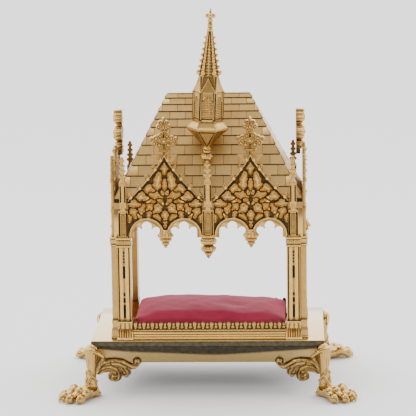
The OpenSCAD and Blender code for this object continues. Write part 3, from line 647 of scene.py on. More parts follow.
def buttress_field(width, low, tip):
    """Face of a buttress: two stages under gablets and a crocketed pinnacle."""
    half = width / 2
    stage_1, stage_2 = low + 33, low + 63

    def field(x, z):
        x = np.abs(x)
        body = slab(x, z, 0, (low + stage_1 - 3) / 2, half, (stage_1 - 3 - low) / 2)
        gablet = np.maximum((x - (stage_1 + 3.4 - z) * 0.62) * 0.85, stage_1 - 6 - z)
        upper = slab(x, z, 0, (stage_1 + stage_2) / 2, half * 0.68, (stage_2 - stage_1) / 2)
        cap = np.maximum((x - (stage_2 + 5.5 - z) * 0.5) * 0.9, stage_2 - 3 - z)
        spike = stroke(x, z, [(0, stage_2), (0, tip - 3.4)], [half * 0.46, 1.4])
        outside = np.minimum.reduce([body, gablet, upper, cap, spike])
        depth = np.full(np.shape(x), 1.0) + 0.5 * rounded(outside, 0.8)
        tarnish_and_shade = np.full(np.shape(x), 0.15)
        grain = np.sin(x * 5.1 + z * 2.3) * np.sin(z * 4.7 - x * 1.9)
        niche = np.minimum(slab(x, z, 0, low + 13.5, half * 0.5, 10), disc(x, z, 0, low + 23.5, half * 0.5))
        panel = step(niche, 0.2, -0.3)
        depth = blend(depth, 1.9 + 0.3 * grain, panel)
        tarnish_and_shade = blend(tarnish_and_shade, 0.35 - 0.3 * grain, panel)
        slot = slab(x, z, half * 0.74, low + 15, 0.55, 13)
        shaft = slab(x, z, half * 0.46, (stage_1 + stage_2) / 2 + 1, 0.4, (stage_2 - stage_1) / 2 - 6)
        # The slot and shaft grooves are painted dark as painted shade.
        for edge, floor, dark in ((slot, 3.2, 1.0), (shaft, 2.6, 0.9)):
            groove = step(edge, 0.3, -0.1)
            depth = blend(depth, floor, groove)
            tarnish_and_shade = blend(tarnish_and_shade, dark, groove)
        # Each gablet and cap rim is painted bright as a painted highlight, and the body just below it dark as
        # a painted shadow.
        for edge in (gablet, cap):
            rim = bump(edge, -0.5, 0.45) * (z > low + 20) * (edge < 0.1)
            depth = depth - 0.8 * rim
            tarnish_and_shade = tarnish_and_shade * (1 - rim)
            under = bump(edge, 0.7, 0.4) * (body < -0.8)
            tarnish_and_shade = np.maximum(tarnish_and_shade, under * 0.9)
        sill = bump(z, low + 1.2, 0.9)
        depth = depth - 0.6 * sill
        for k in range(3):
            height = stage_2 + 6 + 5.6 * k
            bud = disc(x, z, half * (0.46 - 0.07 * k), height, half * (0.31 - 0.03 * k))
            outside = np.minimum(outside, bud)
            depth = blend(depth, 0.7, step(bud, 0.15, -0.2))
        knob = np.minimum(disc(x, z, 0, tip - 1.7, 1.6), disc(x, z, 1.2, tip - 4.6, 1.7))
        outside = np.minimum(outside, knob)
        return outside, depth, tarnish_and_shade

    return field


def gallery_form(length):
    """A strip of upright leaves and beads, as long as its rail."""
    pairs = round(length / 9.6)
    period = length / pairs / 2
    low, high = RAIL_Z, GALLERY_Z

    def field(x, z):
        along = x + length / 2
        at = (along / period) % 1.0 - 0.5
        odd = (np.floor(along / period).astype(int) % 2) == 1
        u = at * period
        strip = slab(x, z, 0, (low + high - 3.4) / 2, length / 2 - 0.05, (high - 3.4 - low) / 2)
        petal = disc(u, z, 0, high - 2.3, 2.25)
        bud = disc(u, z, 0, high - 3.4, 1.9)
        crest = np.maximum(np.where(odd, bud, petal), np.abs(x) - length / 2 + 0.05)
        outside = np.minimum(strip, crest)
        depth = np.full(np.shape(x), 2.7)
        # The strip behind the leaves and beads is painted dark as painted shade.
        tarnish_and_shade = np.full(np.shape(x), 0.9)
        stem = stroke(u, z, [(0, high - 8), (0, high - 4)], [1.0, 2.0])
        for edge, top in (
            (np.where(odd, disc(u, z, 0, high - 6.4, 1.7), disc(u, z, 0, high - 3.2, 2.2)), 1.1),
            (np.where(odd, disc(u, z, 0, high - 3.4, 1.5), stem), 1.3),
            (np.abs(z - low - 1.2) - 0.9, 1.2),
        ):
            here = step(edge, 0.2, -0.2)
            face = top + 0.7 * rounded(edge, 1.2) + 0.5 * bump(edge, -1.3, 0.35)
            lower = face < depth
            # Each leaf and bead darkens in the sunk groove inside its edge: painted shade.
            tarnish_and_shade = np.where(lower, blend(tarnish_and_shade, 0.25 * bump(edge, -1.3, 0.4), here), tarnish_and_shade)
            depth = np.where(lower, blend(depth, face, here), depth)
        return outside, depth, tarnish_and_shade

    return relief(field, (-length / 2 - 0.1, low - 0.3), (length / 2 + 0.1, high + 0.4), 3.6, 0.45)


# ---------------------------------------------------------------- columns


def sampled(outline, pitch):
    """A ring of points along a closed outline drawn counterclockwise: place, mitred normal, face number,
    distance along the face and the face's length."""
    ring = []
    count = len(outline)
    normals = []
    for i in range(count):
        dx, dy = np.subtract(outline[(i + 1) % count], outline[i])
        length = math.hypot(dx, dy)
        normals.append((dy / length, -dx / length, length))
    for i in range(count):
        start, end = np.asarray(outline[i]), np.asarray(outline[(i + 1) % count])
        nx, ny, length = normals[i]
        px, py, _ = normals[i - 1]
        mitre = 1 + nx * px + ny * py
        steps = max(1, round(length / pitch))
        for k in range(steps):
            normal = ((nx + px) / mitre, (ny + py) / mitre) if k == 0 else (nx, ny)
            ring.append((start + (end - start) * k / steps, normal, i, length * k / steps, length))
    return ring


def column(ring, levels, shape):
    """An upright closed form. shape(face, along, length, z) gives how far the face stands out, and its
    tarnish and painted shade."""
    verts, shade = [], []
    for z in levels:
        for place, normal, face, along, length in ring:
            out, dark = shape(face, along, length, z)
            verts.append((place[0] + normal[0] * out, place[1] + normal[1] * out, z))
            shade.append(dark)
    return Form().add(verts, tube(len(ring), len(levels)), shade)


def reeds(u, width):
    """How far the reeded face of a pilaster stands back, and how dark it is: two rounds beside a middle
    groove, with painted shade in the grooves and on the rounds where they turn away."""
    across = abs(u - width / 2)
    if across < 0.65:
        return -2.0, 0.85
    if across < 5.6:
        t = (across - 3.25) / 2.35
        back = 1.5 * (1 - math.sqrt(max(0.0, 1 - t * t)))
        return -back, 0.6 * (back / 1.5) ** 2
    if across < 6.4:
        return -1.7, 0.9
    return -0.5, 0.1


# Lower and upper ends of the slots in a post's middle groove, sunk deeper and painted dark as painted shade
POST_SLOTS = [
    (89, 104), (106.5, 112), (114, 118), (134, 148), (151.5, 153.5), (155, 157), (158.5, 160.5), (162, 164.5),
]


def slotted(z):
    """Whether a post's middle groove is sunk deeper at this height and painted dark as painted shade."""
    return any(start < z < end for start, end in POST_SLOTS)


def post_form():
    """A front right post about the canopy's middle."""
    inner_x, inner_y = HALF_W - PILASTER_T - POST_W, -HALF_D + PILASTER_T + POST_W
    outline = [
        (inner_x, -HALF_D), (HALF_W - PILASTER_T, -HALF_D), (HALF_W - PILASTER_T, -HALF_D + PILASTER_T),
        (HALF_W, -HALF_D + PILASTER_T), (HALF_W, inner_y), (inner_x, inner_y),
    ]
    ring = sampled(outline, 0.45)
    shown = (0, 3)
    foot_top, low = POST_FOOT_Z, BASE_TOP

    def shape(face, u, length, z):
        if z <= low + 2.6:
            return (1.2 if z <= low + 2.0 else 0.5), 0.0
        if z < foot_top:
            rise = (z - low - 2.6) / (foot_top - low - 2.6)
            waist = math.exp(-(((rise - 0.62) / 0.2) ** 2))
            out = 1.1 - 0.6 * rise - 0.9 * waist
            if face not in shown:
                return out * 0.6, 0.2
            if rise > 0.9:
                return 0.5, 0.0
            if rise < 0.55:
                wave = math.cos(2 * math.pi * u / (length / 6))
            else:
                lean = (u - length / 2) * (1.0 + 0.5 * (rise - 0.6))
                wave = -math.cos(2 * math.pi * lean / (length / 3)) * math.cos(1.6 * math.pi * (rise - 0.72))
            # The troughs of the waves are painted dark as painted shade.
            return out + 0.6 * wave - 0.6, 0.8 * max(0.0, -wave)
        if z <= SHAFT_Z:
            top = SHAFT_Z - z
            if face not in shown:
                return -0.35, 0.25
            back, dark = reeds(u, length)
            if abs(u - length / 2) < 0.9:
                if top < 1.2 or not slotted(z):
                    return -1.3, 0.5
            return back - 0.3, dark
        rise = (z - SHAFT_Z) / (CAP_Z - SHAFT_Z)
        if rise < 0.16:
            return 0.5, 0.0
        # This sunk ring is painted dark as painted shade.
        if rise < 0.3:
            return -0.5, 0.7
        if rise < 0.72:
            if face not in shown:
                return 0.2, 0.1
            wave = math.cos(2 * math.pi * u / (length / 4)) * math.cos(4 * math.pi * (rise - 0.3) / 0.42)
            # The troughs of the waves are painted dark as painted shade.
            return 0.4 + 0.6 * rise + 0.6 * wave - 0.3, 0.8 * max(0.0, -wave)
        # This sunk ring is painted dark as painted shade.
        if rise < 0.8:
            return -0.1, 0.7
        return 0.9, 0.0

    levels = [low, low + 2.0, low + 2.6]
    levels += list(np.linspace(low + 2.8, foot_top - 0.05, 38))
    levels += [foot_top]
    for start, end in POST_SLOTS:
        levels += [start - 0.1, start + 0.1, end - 0.1, end + 0.1]
    levels += [SHAFT_Z - 1.3, SHAFT_Z - 1.1, SHAFT_Z]
    levels += list(np.linspace(SHAFT_Z + 0.1, CAP_Z, 28))
    return column(ring, sorted(levels), shape)


def hexagon(radius):
    """Corners of a hexagon with a corner on +X, counterclockwise."""
    angles = [math.radians(60 * i) for i in range(6)]
    return [(radius * math.cos(a), radius * math.sin(a)) for a in angles]


def hex_tower(levels, radius_at, detail, pitch=0.5, widest=20.0):
    """A six-sided form whose corner radius changes with height. detail(u, half, z) gives how far the face
    stands out at u from its middle, and its tarnish and painted shade."""
    ring = sampled(hexagon(widest), pitch)
    verts, shade = [], []
    for z in levels:
        size = radius_at(z) / widest
        for place, normal, _, along, length in ring:
            u = (along - length / 2) * size
            out, dark = detail(u, length / 2 * size, z)
            verts.append((place[0] * size + normal[0] * out, place[1] * size + normal[1] * out, z))
            shade.append(dark)
    return Form().add(verts, tube(len(ring), len(levels)), shade)


# ---------------------------------------------------------------- materials


def colour_mix(tree, factor, low, high):
    """A colour that goes from low to high with a socket's value."""
    mix = tree.nodes.new("ShaderNodeMix")
    mix.data_type = "RGBA"
    tree.links.new(factor, mix.inputs["Factor"])
    for name, value in (("A", low), ("B", high)):
        socket = [s for s in mix.inputs if s.name == name and s.type == "RGBA"][0]
        if isinstance(value, tuple):
            socket.default_value = (*value, 1)
        else:
            tree.links.new(value, socket)
    return [s for s in mix.outputs if s.type == "RGBA"][0]


def noise(tree, scale, detail=3.0, rough=0.5):
    """Noise fixed to the object."""
    place = tree.nodes.new("ShaderNodeTexCoord")
    node = tree.nodes.new("ShaderNodeTexNoise")
    node.inputs["Scale"].default_value = scale
    node.inputs["Detail"].default_value = detail
    node.inputs["Roughness"].default_value = rough
    tree.links.new(place.outputs["Object"], node.inputs["Vector"])
    return node.outputs["Fac"]


def sums(tree, operation, a, b, clamp=False):
    """A sum of two sockets or numbers."""
    node = tree.nodes.new("ShaderNodeMath")
    node.operation = operation
    node.use_clamp = clamp
    for socket, value in zip(node.inputs, (a, b)):
        if isinstance(value, (int, float)):
            socket.default_value = value
        else:
            tree.links.new(value, socket)
    return node.outputs[0]


def roughen(tree, shader, height, strength, distance):
    """Gives a shader the fine relief of a socket's value, distance millimetres deep."""
    raised_node = tree.nodes.new("ShaderNodeBump")
    raised_node.inputs["Strength"].default_value = strength
    raised_node.inputs["Distance"].default_value = distance * MM
    tree.links.new(height, raised_node.inputs["Height"])
    tree.links.new(raised_node.outputs["Normal"], shader.inputs["Normal"])


def blank(name):
    """A new material, its node tree and its shader."""
    material = bpy.data.materials.new(name)
    material.use_nodes = True
    tree = material.node_tree
    shader = next(n for n in tree.nodes if n.type == "BSDF_PRINCIPLED")
    return material, tree, shader


def brass(name, bright, middle, dark, rough, grain, grain_scale, spread=0.25):
    """Gilded brass, darker and duller where the tarnish and painted shade value is high, and stained in spots
    by spread.
    """
    material, tree, shader = blank(name)
    shader.inputs["Metallic"].default_value = 1.0
    attribute = tree.nodes.new("ShaderNodeAttribute")
    attribute.attribute_name = "tarnish_and_shade"
    stain = noise(tree, 220, 4)
    fine = noise(tree, grain_scale, 2)
    spots = sums(tree, "MULTIPLY", sums(tree, "SUBTRACT", stain, 0.5), spread)
    depth = sums(tree, "ADD", attribute.outputs["Fac"], spots, True)
    low = sums(tree, "MULTIPLY", depth, 2.0, True)
    high = sums(tree, "MULTIPLY", sums(tree, "SUBTRACT", depth, 0.5), 2.0, True)
    colour = colour_mix(tree, high, colour_mix(tree, low, bright, middle), dark)
    tree.links.new(colour, shader.inputs["Base Color"])
    gloss = sums(tree, "ADD", sums(tree, "MULTIPLY", depth, 0.3), rough)
    tree.links.new(sums(tree, "ADD", gloss, sums(tree, "MULTIPLY", stain, 0.08)), shader.inputs["Roughness"])
    roughen(tree, shader, fine, grain, 0.3)
    return material


def velvet():
    """Crimson pile velvet, with patches brushed lighter and darker."""
    material, tree, shader = blank("velvet")
    nap = noise(tree, 38, 3)
    pile = noise(tree, 1600, 2)
    shade = sums(tree, "ADD", sums(tree, "MULTIPLY", nap, 0.7), sums(tree, "MULTIPLY", pile, 0.3))
    colour = colour_mix(tree, shade, (0.24, 0.005, 0.026), (0.45, 0.018, 0.066))
    tree.links.new(colour, shader.inputs["Base Color"])
    shader.inputs["Roughness"].default_value = 0.85
    shader.inputs["Sheen Weight"].default_value = 0.2
    shader.inputs["Sheen Roughness"].default_value = 0.35
    shader.inputs["Sheen Tint"].default_value = (1.0, 0.42, 0.5, 1)
    roughen(tree, shader, pile, 0.4, 0.4)
    return material


def wood():
    """The thin board under the cushion."""
    material, tree, shader = blank("board")
    place = tree.nodes.new("ShaderNodeTexCoord")
    stretch = tree.nodes.new("ShaderNodeMapping")
    stretch.inputs["Scale"].default_value = (12, 260, 260)
    grain = tree.nodes.new("ShaderNodeTexNoise")
    grain.inputs["Scale"].default_value = 2.0
    tree.links.new(place.outputs["Object"], stretch.inputs["Vector"])
    tree.links.new(stretch.outputs["Vector"], grain.inputs["Vector"])
    colour = colour_mix(tree, grain.outputs["Fac"], (0.20, 0.11, 0.05), (0.42, 0.26, 0.13))
    tree.links.new(colour, shader.inputs["Base Color"])
    shader.inputs["Roughness"].default_value = 0.6
    return material


def floor_white():
    """Plain pale studio floor."""
    material, tree, shader = blank("studio_floor")
    shader.inputs["Base Color"].default_value = (0.9, 0.9, 0.9, 1)
    shader.inputs["Roughness"].default_value = 0.9
    return material


# Bright, middle and dark colour, roughness, and the strength and scale of the grain
BRASSES = {
    "polished": ((0.72, 0.50, 0.20), (0.30, 0.22, 0.10), (0.045, 0.042, 0.032), 0.13, 0.04, 500),
    "cast": ((0.61, 0.375, 0.115), (0.33, 0.185, 0.05), (0.03, 0.024, 0.016), 0.2, 0.14, 1100),
    "foot": ((0.54, 0.335, 0.105), (0.26, 0.155, 0.05), (0.03, 0.024, 0.016), 0.13, 0.03, 600),
    "roof": ((0.56, 0.36, 0.13), (0.36, 0.21, 0.07), (0.035, 0.025, 0.014), 0.34, 0.12, 900),
    "dull": ((0.46, 0.26, 0.08), (0.32, 0.17, 0.055), (0.09, 0.05, 0.025), 0.45, 0.3, 700, 0.8),
    "fixing": ((0.52, 0.38, 0.18), (0.38, 0.26, 0.11), (0.10, 0.08, 0.04), 0.35, 0.2, 900, 0.6),
}
METALS = {name: brass(f"{name}_brass", *looks) for name, looks in BRASSES.items()}
# Each finish's material and its slot in the record
FINISHES = {
    "polished": (METALS["polished"], "polished_brass"),
    "cast": (METALS["cast"], "cast_brass"),
    "foot": (METALS["foot"], "cast_brass"),
    "roof": (METALS["roof"], "roof_brass"),
    "dull": (METALS["dull"], "dull_brass"),
    "fixing": (METALS["fixing"], "fixings"),
    "velvet": (velvet(), "velvet"),
    "board": (wood(), "board"),
}


# ---------------------------------------------------------------- plinth


def skirt_form(half):
    """A mitred sheet of the skirt, its long edge 2 * half, painted dark below the plate and lowest in the
    middle: a painted reflection of the dark surround."""
    across, down = 60, 24
    columns = across + 1
    verts, shade = [], []
    for back in (0, 1):
        for j in range(down + 1):
            t = j / down
            y, z = SKIRT_IN * t + SKIRT_T * back, FASCIA_Z + (SKIRT_Z - FASCIA_Z) * t
            for i in range(columns):
                u = 2 * i / across - 1
                verts.append((u * (half - y), y, z))
                # The dark band from the top down to limit is a painted reflection of the dark surround.
                limit = 0.05 + 0.42 * (1 - abs(u) ** 2.2) + 0.03 * math.sin(7 * u + 1)
                shade.append(0.1 + 0.85 * float(step(t, limit + 0.1, limit - 0.06)))
    rows = down + 1
    faces = []
    for back in (0, 1):
        first = back * rows * columns
        for j in range(down):
            for i in range(across):
                a = first + j * columns + i
                faces.append((a, a + 1, a + columns + 1, a + columns))
    shift = rows * columns
    border = list(range(columns)) + [j * columns + across for j in range(1, rows)]
    border += [down * columns + i for i in range(across - 1, -1, -1)]
    border += [j * columns for j in range(down - 1, 0, -1)]
    for a, b in zip(border, border[1:] + border[:1]):
        faces.append((a, b, b + shift, a + shift))
    return outward(Form().add(verts, faces, shade))


def build_plinth():
    """The top plate and the four sheets of the sloping skirt."""
    top = bevelled(block((-BASE_W / 2, -BASE_D / 2, FASCIA_Z), (BASE_W / 2, BASE_D / 2, BASE_TOP)), 0.6, 3)
    # The plate's sides below its top are painted dark, as a painted reflection of the dark surround.
    top.tarnish_and_shade = [0.92 if z < BASE_TOP - 0.5 else 0.0 for _, _, z in top.verts]
    piece("plinth_top", top, "polished", ["base_top_plate"], hollows=0)
    for side, turn, length, reach in (
        ("front", 0, BASE_W, BASE_D / 2), ("right", 90, BASE_D, BASE_W / 2),
        ("back", 180, BASE_W, BASE_D / 2), ("left", 270, BASE_D, BASE_W / 2),
    ):
        form = skirt_form(length / 2)
        place = Matrix.Rotation(math.radians(turn), 4, "Z") @ Matrix.Translation((0, -reach, 0))
        piece(f"plinth_skirt_{side}", form, "polished", [f"base_skirt_{side}"], place, hollows=0)


# ---------------------------------------------------------------- feet


# An acanthus wing as swelling strokes: points from the plinth's corner, half widths and height of the swell
WING_BODY = [
    ([(-8, -8), (-1, -19), (5, -28), (12, -30.5), (19, -29), (24, -31)], [7, 9.5, 11.5, 7.2, 8.0, 5.5], 2.4),
    ([(18, -27), (26, -26.5), (33, -28), (40, -31), (46, -31), (50, -27.5)],
     [6.2, 6.2, 5.6, 4.4, 3.2, 3.4], 3.0),
    ([(50, -24.6), (50.4, -24.6)], [4.8, 4.8], 3.6),
    ([(22, -29), (27.4, -34), (28, -38)], [4.4, 4.2, 4.0], 3.8),
    ([(24.8, -41.6), (25.2, -41.6)], [6.9, 6.9], 4.4),
    ([(33, -34), (37.4, -38)], [3.6, 4.9], 2.8),
    ([(35.6, -40), (36.2, -41)], [3.6, 3.6], 3.4),
]
# The lines of its raised veins and scrolls
WING_RIDGES = [
    [(2, -41), (7, -34), (14, -30), (21, -29.4), (26.4, -32.4), (29, -38), (28, -43.6), (23.6, -45.6),
     (20.6, -42.4), (22.2, -39), (25.4, -39.6)],
    [(11, -26), (18.8, -22.6), (26, -21.8), (33, -23.6), (40, -27.8), (45.4, -30.6), (50.6, -29.6),
     (53.4, -25.4), (51.4, -21.8), (48.4, -22.4), (47.8, -25)],
    [(35, -32), (38.6, -36.4), (38.4, -40.8), (34.6, -41)],
    [(22, -25.6), (30, -26.4), (37, -30.6)],
]
# A wing is stretched by WING_STRETCH beyond WING_FOLD down the slope. Beyond the mitre it turns outwards over
# a distance of WEB_BLEND on either side, and rises by WEB_RISE of its reach.
WING_FOLD = 24.0
WING_STRETCH = 1.45
WEB_BLEND = 4.0
WEB_RISE = 0.18
# A foot screw's place along the skirt and down its slope, and its (radius, height) from the sheet's face
SCREW_PLACE = (-24, 0, -12)
SCREW = [(2.8, -3.9), (2.8, -2.0), (1.5, -1.95), (1.5, -0.2)]


def wing_field(x, z):
    """Face of an acanthus wing on the skirt: x from the plinth's corner, z up the slope from its top edge."""
    x = -x
    outside = np.full(np.shape(x), 1e3)
    depth = np.full(np.shape(x), 0.0)
    for points, widths, height in WING_BODY:
        edge = stroke(x, z, points, widths)
        inside = (-edge / 4.6).clip(0, 1)
        depth = np.minimum(depth, -0.8 - height * np.sqrt(inside))
        outside = np.minimum(outside, edge)
    line = np.minimum.reduce([stroke(x, z, points, [0.0] * len(points)) for points in WING_RIDGES])
    depth = depth - 0.9 * bump(line, 0, 0.8) + 0.7 * bump(line, 1.7, 0.6)
    # The veins are painted bright as painted highlights, and the grooves beside them and the rounded outer
    # edge dark as painted shade.
    tarnish_and_shade = 0.15 + 0.75 * bump(line, 1.7, 0.6) - 0.2 * bump(line, 0, 0.9) + 0.4 * step(outside, -0.8, 0)
    fan = np.arctan2(x + 7.0, z + 58.0)
    fluted = step(x, 13.5, 9.5)
    wave = np.cos(fan * 32)
    depth = depth + 0.75 * fluted * wave
    # The flutes' troughs are painted dark as painted shade.
    tarnish_and_shade = tarnish_and_shade + fluted * (0.1 + 0.55 * wave)
    outside = np.maximum(outside, -2.6 - x)
    return outside, depth, tarnish_and_shade.clip(0, 1)


def hung(form):
    """Lays a wing on the skirt's slope beside the corner at the origin, stretched below the fold, and turns
    what lies beyond the mitre outwards to meet the shin."""
    verts = []
    for x, y, z in form.verts:
        along = max(-z, 0.0)
        if along > WING_FOLD:
            along = WING_FOLD + (along - WING_FOLD) * WING_STRETCH
        base_y = along * math.sin(SKIRT_ANGLE)
        base_z = FASCIA_Z - along * math.cos(SKIRT_ANGLE) + max(z, 0.0)
        beyond = base_y + x
        if beyond <= -WEB_BLEND:
            beyond = 0.0
        elif beyond < WEB_BLEND:
            beyond = (beyond + WEB_BLEND) ** 2 / (4 * WEB_BLEND)
        out = y * math.cos(SKIRT_ANGLE) - beyond
        verts.append((x, base_y + out, base_z + y * math.sin(SKIRT_ANGLE) + WEB_RISE * beyond))
    form.verts = verts
    return form


def paw_form():
    """The shin and the paw, with +X outwards along the corner's diagonal and the ankle at x = 0."""
    form = Form()
    shin = [(-3.0, 0, 54.0), (-1.4, 0, 44), (-0.6, 0, 33), (-0.6, 0, 22), (-1.0, 0, 13), (-3.0, 0, 5)]
    form.join(limb(shin, [7.0, 6.4, 5.4, 5.2, 6.2, 7.4]))
    rib = [(7.0, 55), (5.9, 44), (4.8, 34), (4.6, 26)]
    for k in range(-3, 4):
        a = math.radians(25 * k)
        points = [(-1.6 + r * math.cos(a), r * math.sin(a), z) for r, z in rib]
        form.join(limb(points, [1.5, 1.3, 1.0, 0.5], 10))
    rim = [(-7, -13, 47), (-1, -9, 52.5), (3.6, -3.6, 55), (3.6, 3.6, 55), (-1, 9, 52.5), (-7, 13, 47)]
    form.join(limb(rim, [1.8, 2.2, 2.4, 2.4, 2.2, 1.8], 12))
    collar = [(-5, -4.6, 18), (0, -5.8, 22), (3.8, -3.9, 28), (5.2, 0, 32), (3.8, 3.9, 28), (0, 5.8, 22),
              (-5, 4.6, 18)]
    form.join(limb(collar, [1.2, 1.4, 1.5, 1.5, 1.5, 1.4, 1.2], 12))
    for side in (-1, 1):
        tendon = [(3.0, side * 4.0, 25), (5.0, side * 2.8, 20), (8.0, side * 0.8, 15)]
        form.join(limb(tendon, [1.2, 1.7, 1.2], 10))
    form.join(ball((-4.6, 0, 3.6), (7.8, 8.2, 4.4)))
    form.join(limb([(0, 0, 10.6), (9, 0, 10.0), (18, 0, 7.4)], [7.0, 6.4, 5.2]))
    # Root, knuckle and tip of each toe, as x and y
    toes = ((9.5, 6.8, 16.4, 11.6, 27.4, 14.6), (12, 3.4, 21.6, 4.6, 35.0, 5.2))
    for side in (-1, 1):
        form.join(limb([(0, side * 2.5, 7.4), (9, side * 5.6, 7.4), (16, side * 7.6, 6.0)], [6.6, 6.0, 5.0]))
        for x0, y0, x1, y1, x2, y2 in toes:
            middle = ((x1 + x2) / 2, side * (y1 + y2) / 2, 7.6)
            toe = [(x0, side * y0, 8.4), (x1, side * y1, 10.0), middle, (x2, side * y2, 5.2)]
            form.join(limb(toe, [4.9, 4.5, 3.8, 4.0]))
            form.join(ball((x1, side * y1, 11.4), (5.4, 4.9, 4.9)))
            form.join(ball((x2, side * y2, 5.6), (5.4, 4.5, 5.4)))
            claw = [(x2 + 4.0, side * (y2 + 0.2), 6.6), (x2 + 6.2, side * (y2 + 0.4), 4.0),
                    (x2 + 6.6, side * (y2 + 0.5), 1.6)]
            form.join(limb(claw, [2.0, 1.8, 1.1], 10))
    melted = fused(form, 0.6, 1)
    melted.verts = [(x, y, max(z, 0.0)) for x, y, z in melted.verts]
    return melted


def build_feet():
    """Four paw feet, each with two wings that hug the skirt, and their screws."""
    paw = paw_form()
    wing = hung(relief(wing_field, (-58, -50), (3.2, 1.5), 0.3, 0.5))
    swap = Matrix(((0, -1, 0, 0), (-1, 0, 0, 0), (0, 0, 1, 0), (0, 0, 0, 1)))
    foot = Form()
    foot.join(paw, Matrix.Rotation(math.radians(-45), 4, "Z") @ Matrix.Translation((0.7, 0, 0)))
    foot.join(wing)
    foot.join(wing, swap)
    screw = lathe(SCREW, 20)
    on_slope = Matrix.Translation((0, 0, FASCIA_Z)) @ Matrix.Rotation(SKIRT_ANGLE, 4, "X")
    on_slope = on_slope @ Matrix.Translation(SCREW_PLACE) @ Matrix.Rotation(math.radians(90), 4, "X")
    screws = Form()
    for name, at in CORNERS.items():
        place = mirrored(*at) @ Matrix.Translation((BASE_W / 2, -BASE_D / 2, 0))
        piece(f"paw_foot_{name}", foot, "foot", [f"foot_{name}"], place, 50, hollows=0.45)
        screws.join(screw, place @ on_slope)
        screws.join(screw, place @ swap @ on_slope)
    piece("foot_screw_set", screws, "fixing", ["foot_screws"], hollows=0)


# ---------------------------------------------------------------- canopy


def build_posts():
    """Four clustered posts."""
    form = post_form()
    for name, at in CORNERS.items():
        piece(f"cluster_post_{name}", form, "cast", [f"post_{name}"], CANOPY @ mirrored(*at))


def build_rails():
    """Moulded bottom rails and the leaf galleries on them."""
    low, high = BASE_TOP, RAIL_Z
    tall = high - low
    outline = [(0, low), (0, low + tall * 0.30), (0.5, low + tall * 0.36), (1.5, low + tall * 0.42),
               (1.5, low + tall * 0.60), (0.6, low + tall * 0.70), (0.1, low + tall * 0.78),
               (0.1, low + tall * 0.92), (0.5, high), (7, high), (7, low)]
    for side in SIDES:
        node_low, node_high = cad(f"rail_{side}")
        axis = 0 if side in ("front", "back") else 1
        length = node_high[axis] - node_low[axis]
        bar = bevelled(prism(outline, -length / 2, length / 2), 0.18, 2, 20)
        piece(f"moulded_rail_{side}", bar, "cast", [f"rail_{side}"], bay(side), 30, hollows=0.15)
        piece(f"leaf_gallery_{side}", gallery_form(length), "cast", [f"gallery_{side}"], bay(side), 45)


def build_gables():
    """Six gables with their finials."""
    gable = gable_form()
    low, high = (-16.5, 264.6), (16.5, 315)
    finial = relief(finial_field, low, high, WALL_T, 0.4)
    deep_finial = relief(deep_finial_field, low, high, 11.4, 0.4)
    for side, x, name in (
        ("front", -BAY_X, "front_left"), ("front", BAY_X, "front_right"),
        ("back", BAY_X, "back_left"), ("back", -BAY_X, "back_right"),
        ("left", 0, "left"), ("right", 0, "right"),
    ):
        piece(f"leafy_gable_{name}", gable, "cast", [f"gable_{name}"], bay(side, x), 55, hollows=1.6)
        flower = finial if side in ("front", "back") else deep_finial
        piece(f"flower_finial_{name}", flower, "cast", [f"finial_{name}"], bay(side, x), 55)


def build_buttresses():
    """Corner buttresses, each with a front and a side face, and the hanging middle buttresses."""
    width = 11.0
    tip = cad("buttress_front_right")[1][2]
    face = relief(buttress_field(width, CAP_Z, tip), (-6, CAP_Z - 0.3), (6, tip + 0.4), WALL_T, 0.4)
    set_in = 15.0
    corner_form = Form()
    corner_form.join(face, Matrix.Translation((HALF_W - set_in, -HALF_D, 0)))
    side_place = Matrix.Translation((-HALF_D + set_in, -HALF_W, 0))
    corner_form.join(face, Matrix.Rotation(math.radians(90), 4, "Z") @ side_place)
    core_low = (HALF_W - set_in - width / 2, -HALF_D + WALL_T - 0.1, CAP_Z)
    core_high = (HALF_W - WALL_T + 0.1, -HALF_D + set_in + width / 2, 212.1)
    corner_form.join(bevelled(block(core_low, core_high), 0.3))
    for name, at in CORNERS.items():
        place = CANOPY @ mirrored(*at)
        piece(f"niche_buttress_{name}", corner_form, "cast", [f"buttress_{name}"], place, 50)
    middle = relief(buttress_field(12.5, SPRING_Z - 1, 266), (-7, SPRING_Z - 1.3), (7, 266.4), WALL_T, 0.4)
    profile = raised(MIDDLE_PENDANT, cad("mid_buttress_front")[0][2])
    middle.join(lathe(profile, 72, 180, (0, WALL_T - SINK), 18, 0.13))
    for side in ("front", "back"):
        piece(f"hanging_mid_buttress_{side}", middle, "cast", [f"mid_buttress_{side}"], bay(side), 50)


# ---------------------------------------------------------------- roof


def clipped(polygon, line):
    """The part of a convex polygon on the inner side of a line given as (a, b, c): a x + b y <= c."""
    a, b, c = line
    result = []
    for p, q in zip(polygon, polygon[1:] + polygon[:1]):
        dp = a * p[0] + b * p[1] - c
        dq = a * q[0] + b * q[1] - c
        if dp <= 0:
            result.append(p)
        if dp * dq < 0:
            t = dp / (dp - dq)
            result.append((p[0] + t * (q[0] - p[0]), p[1] + t * (q[1] - p[1])))
    return result


# The gap between two plates of a course, and the one above the course below, where the dark sheet behind
# shows as a painted shadow line
JOINT = 0.14
SHADOW_GAP = 0.9
SHEET_T = 1.5
COURSES = 12
BRICK = 17.2


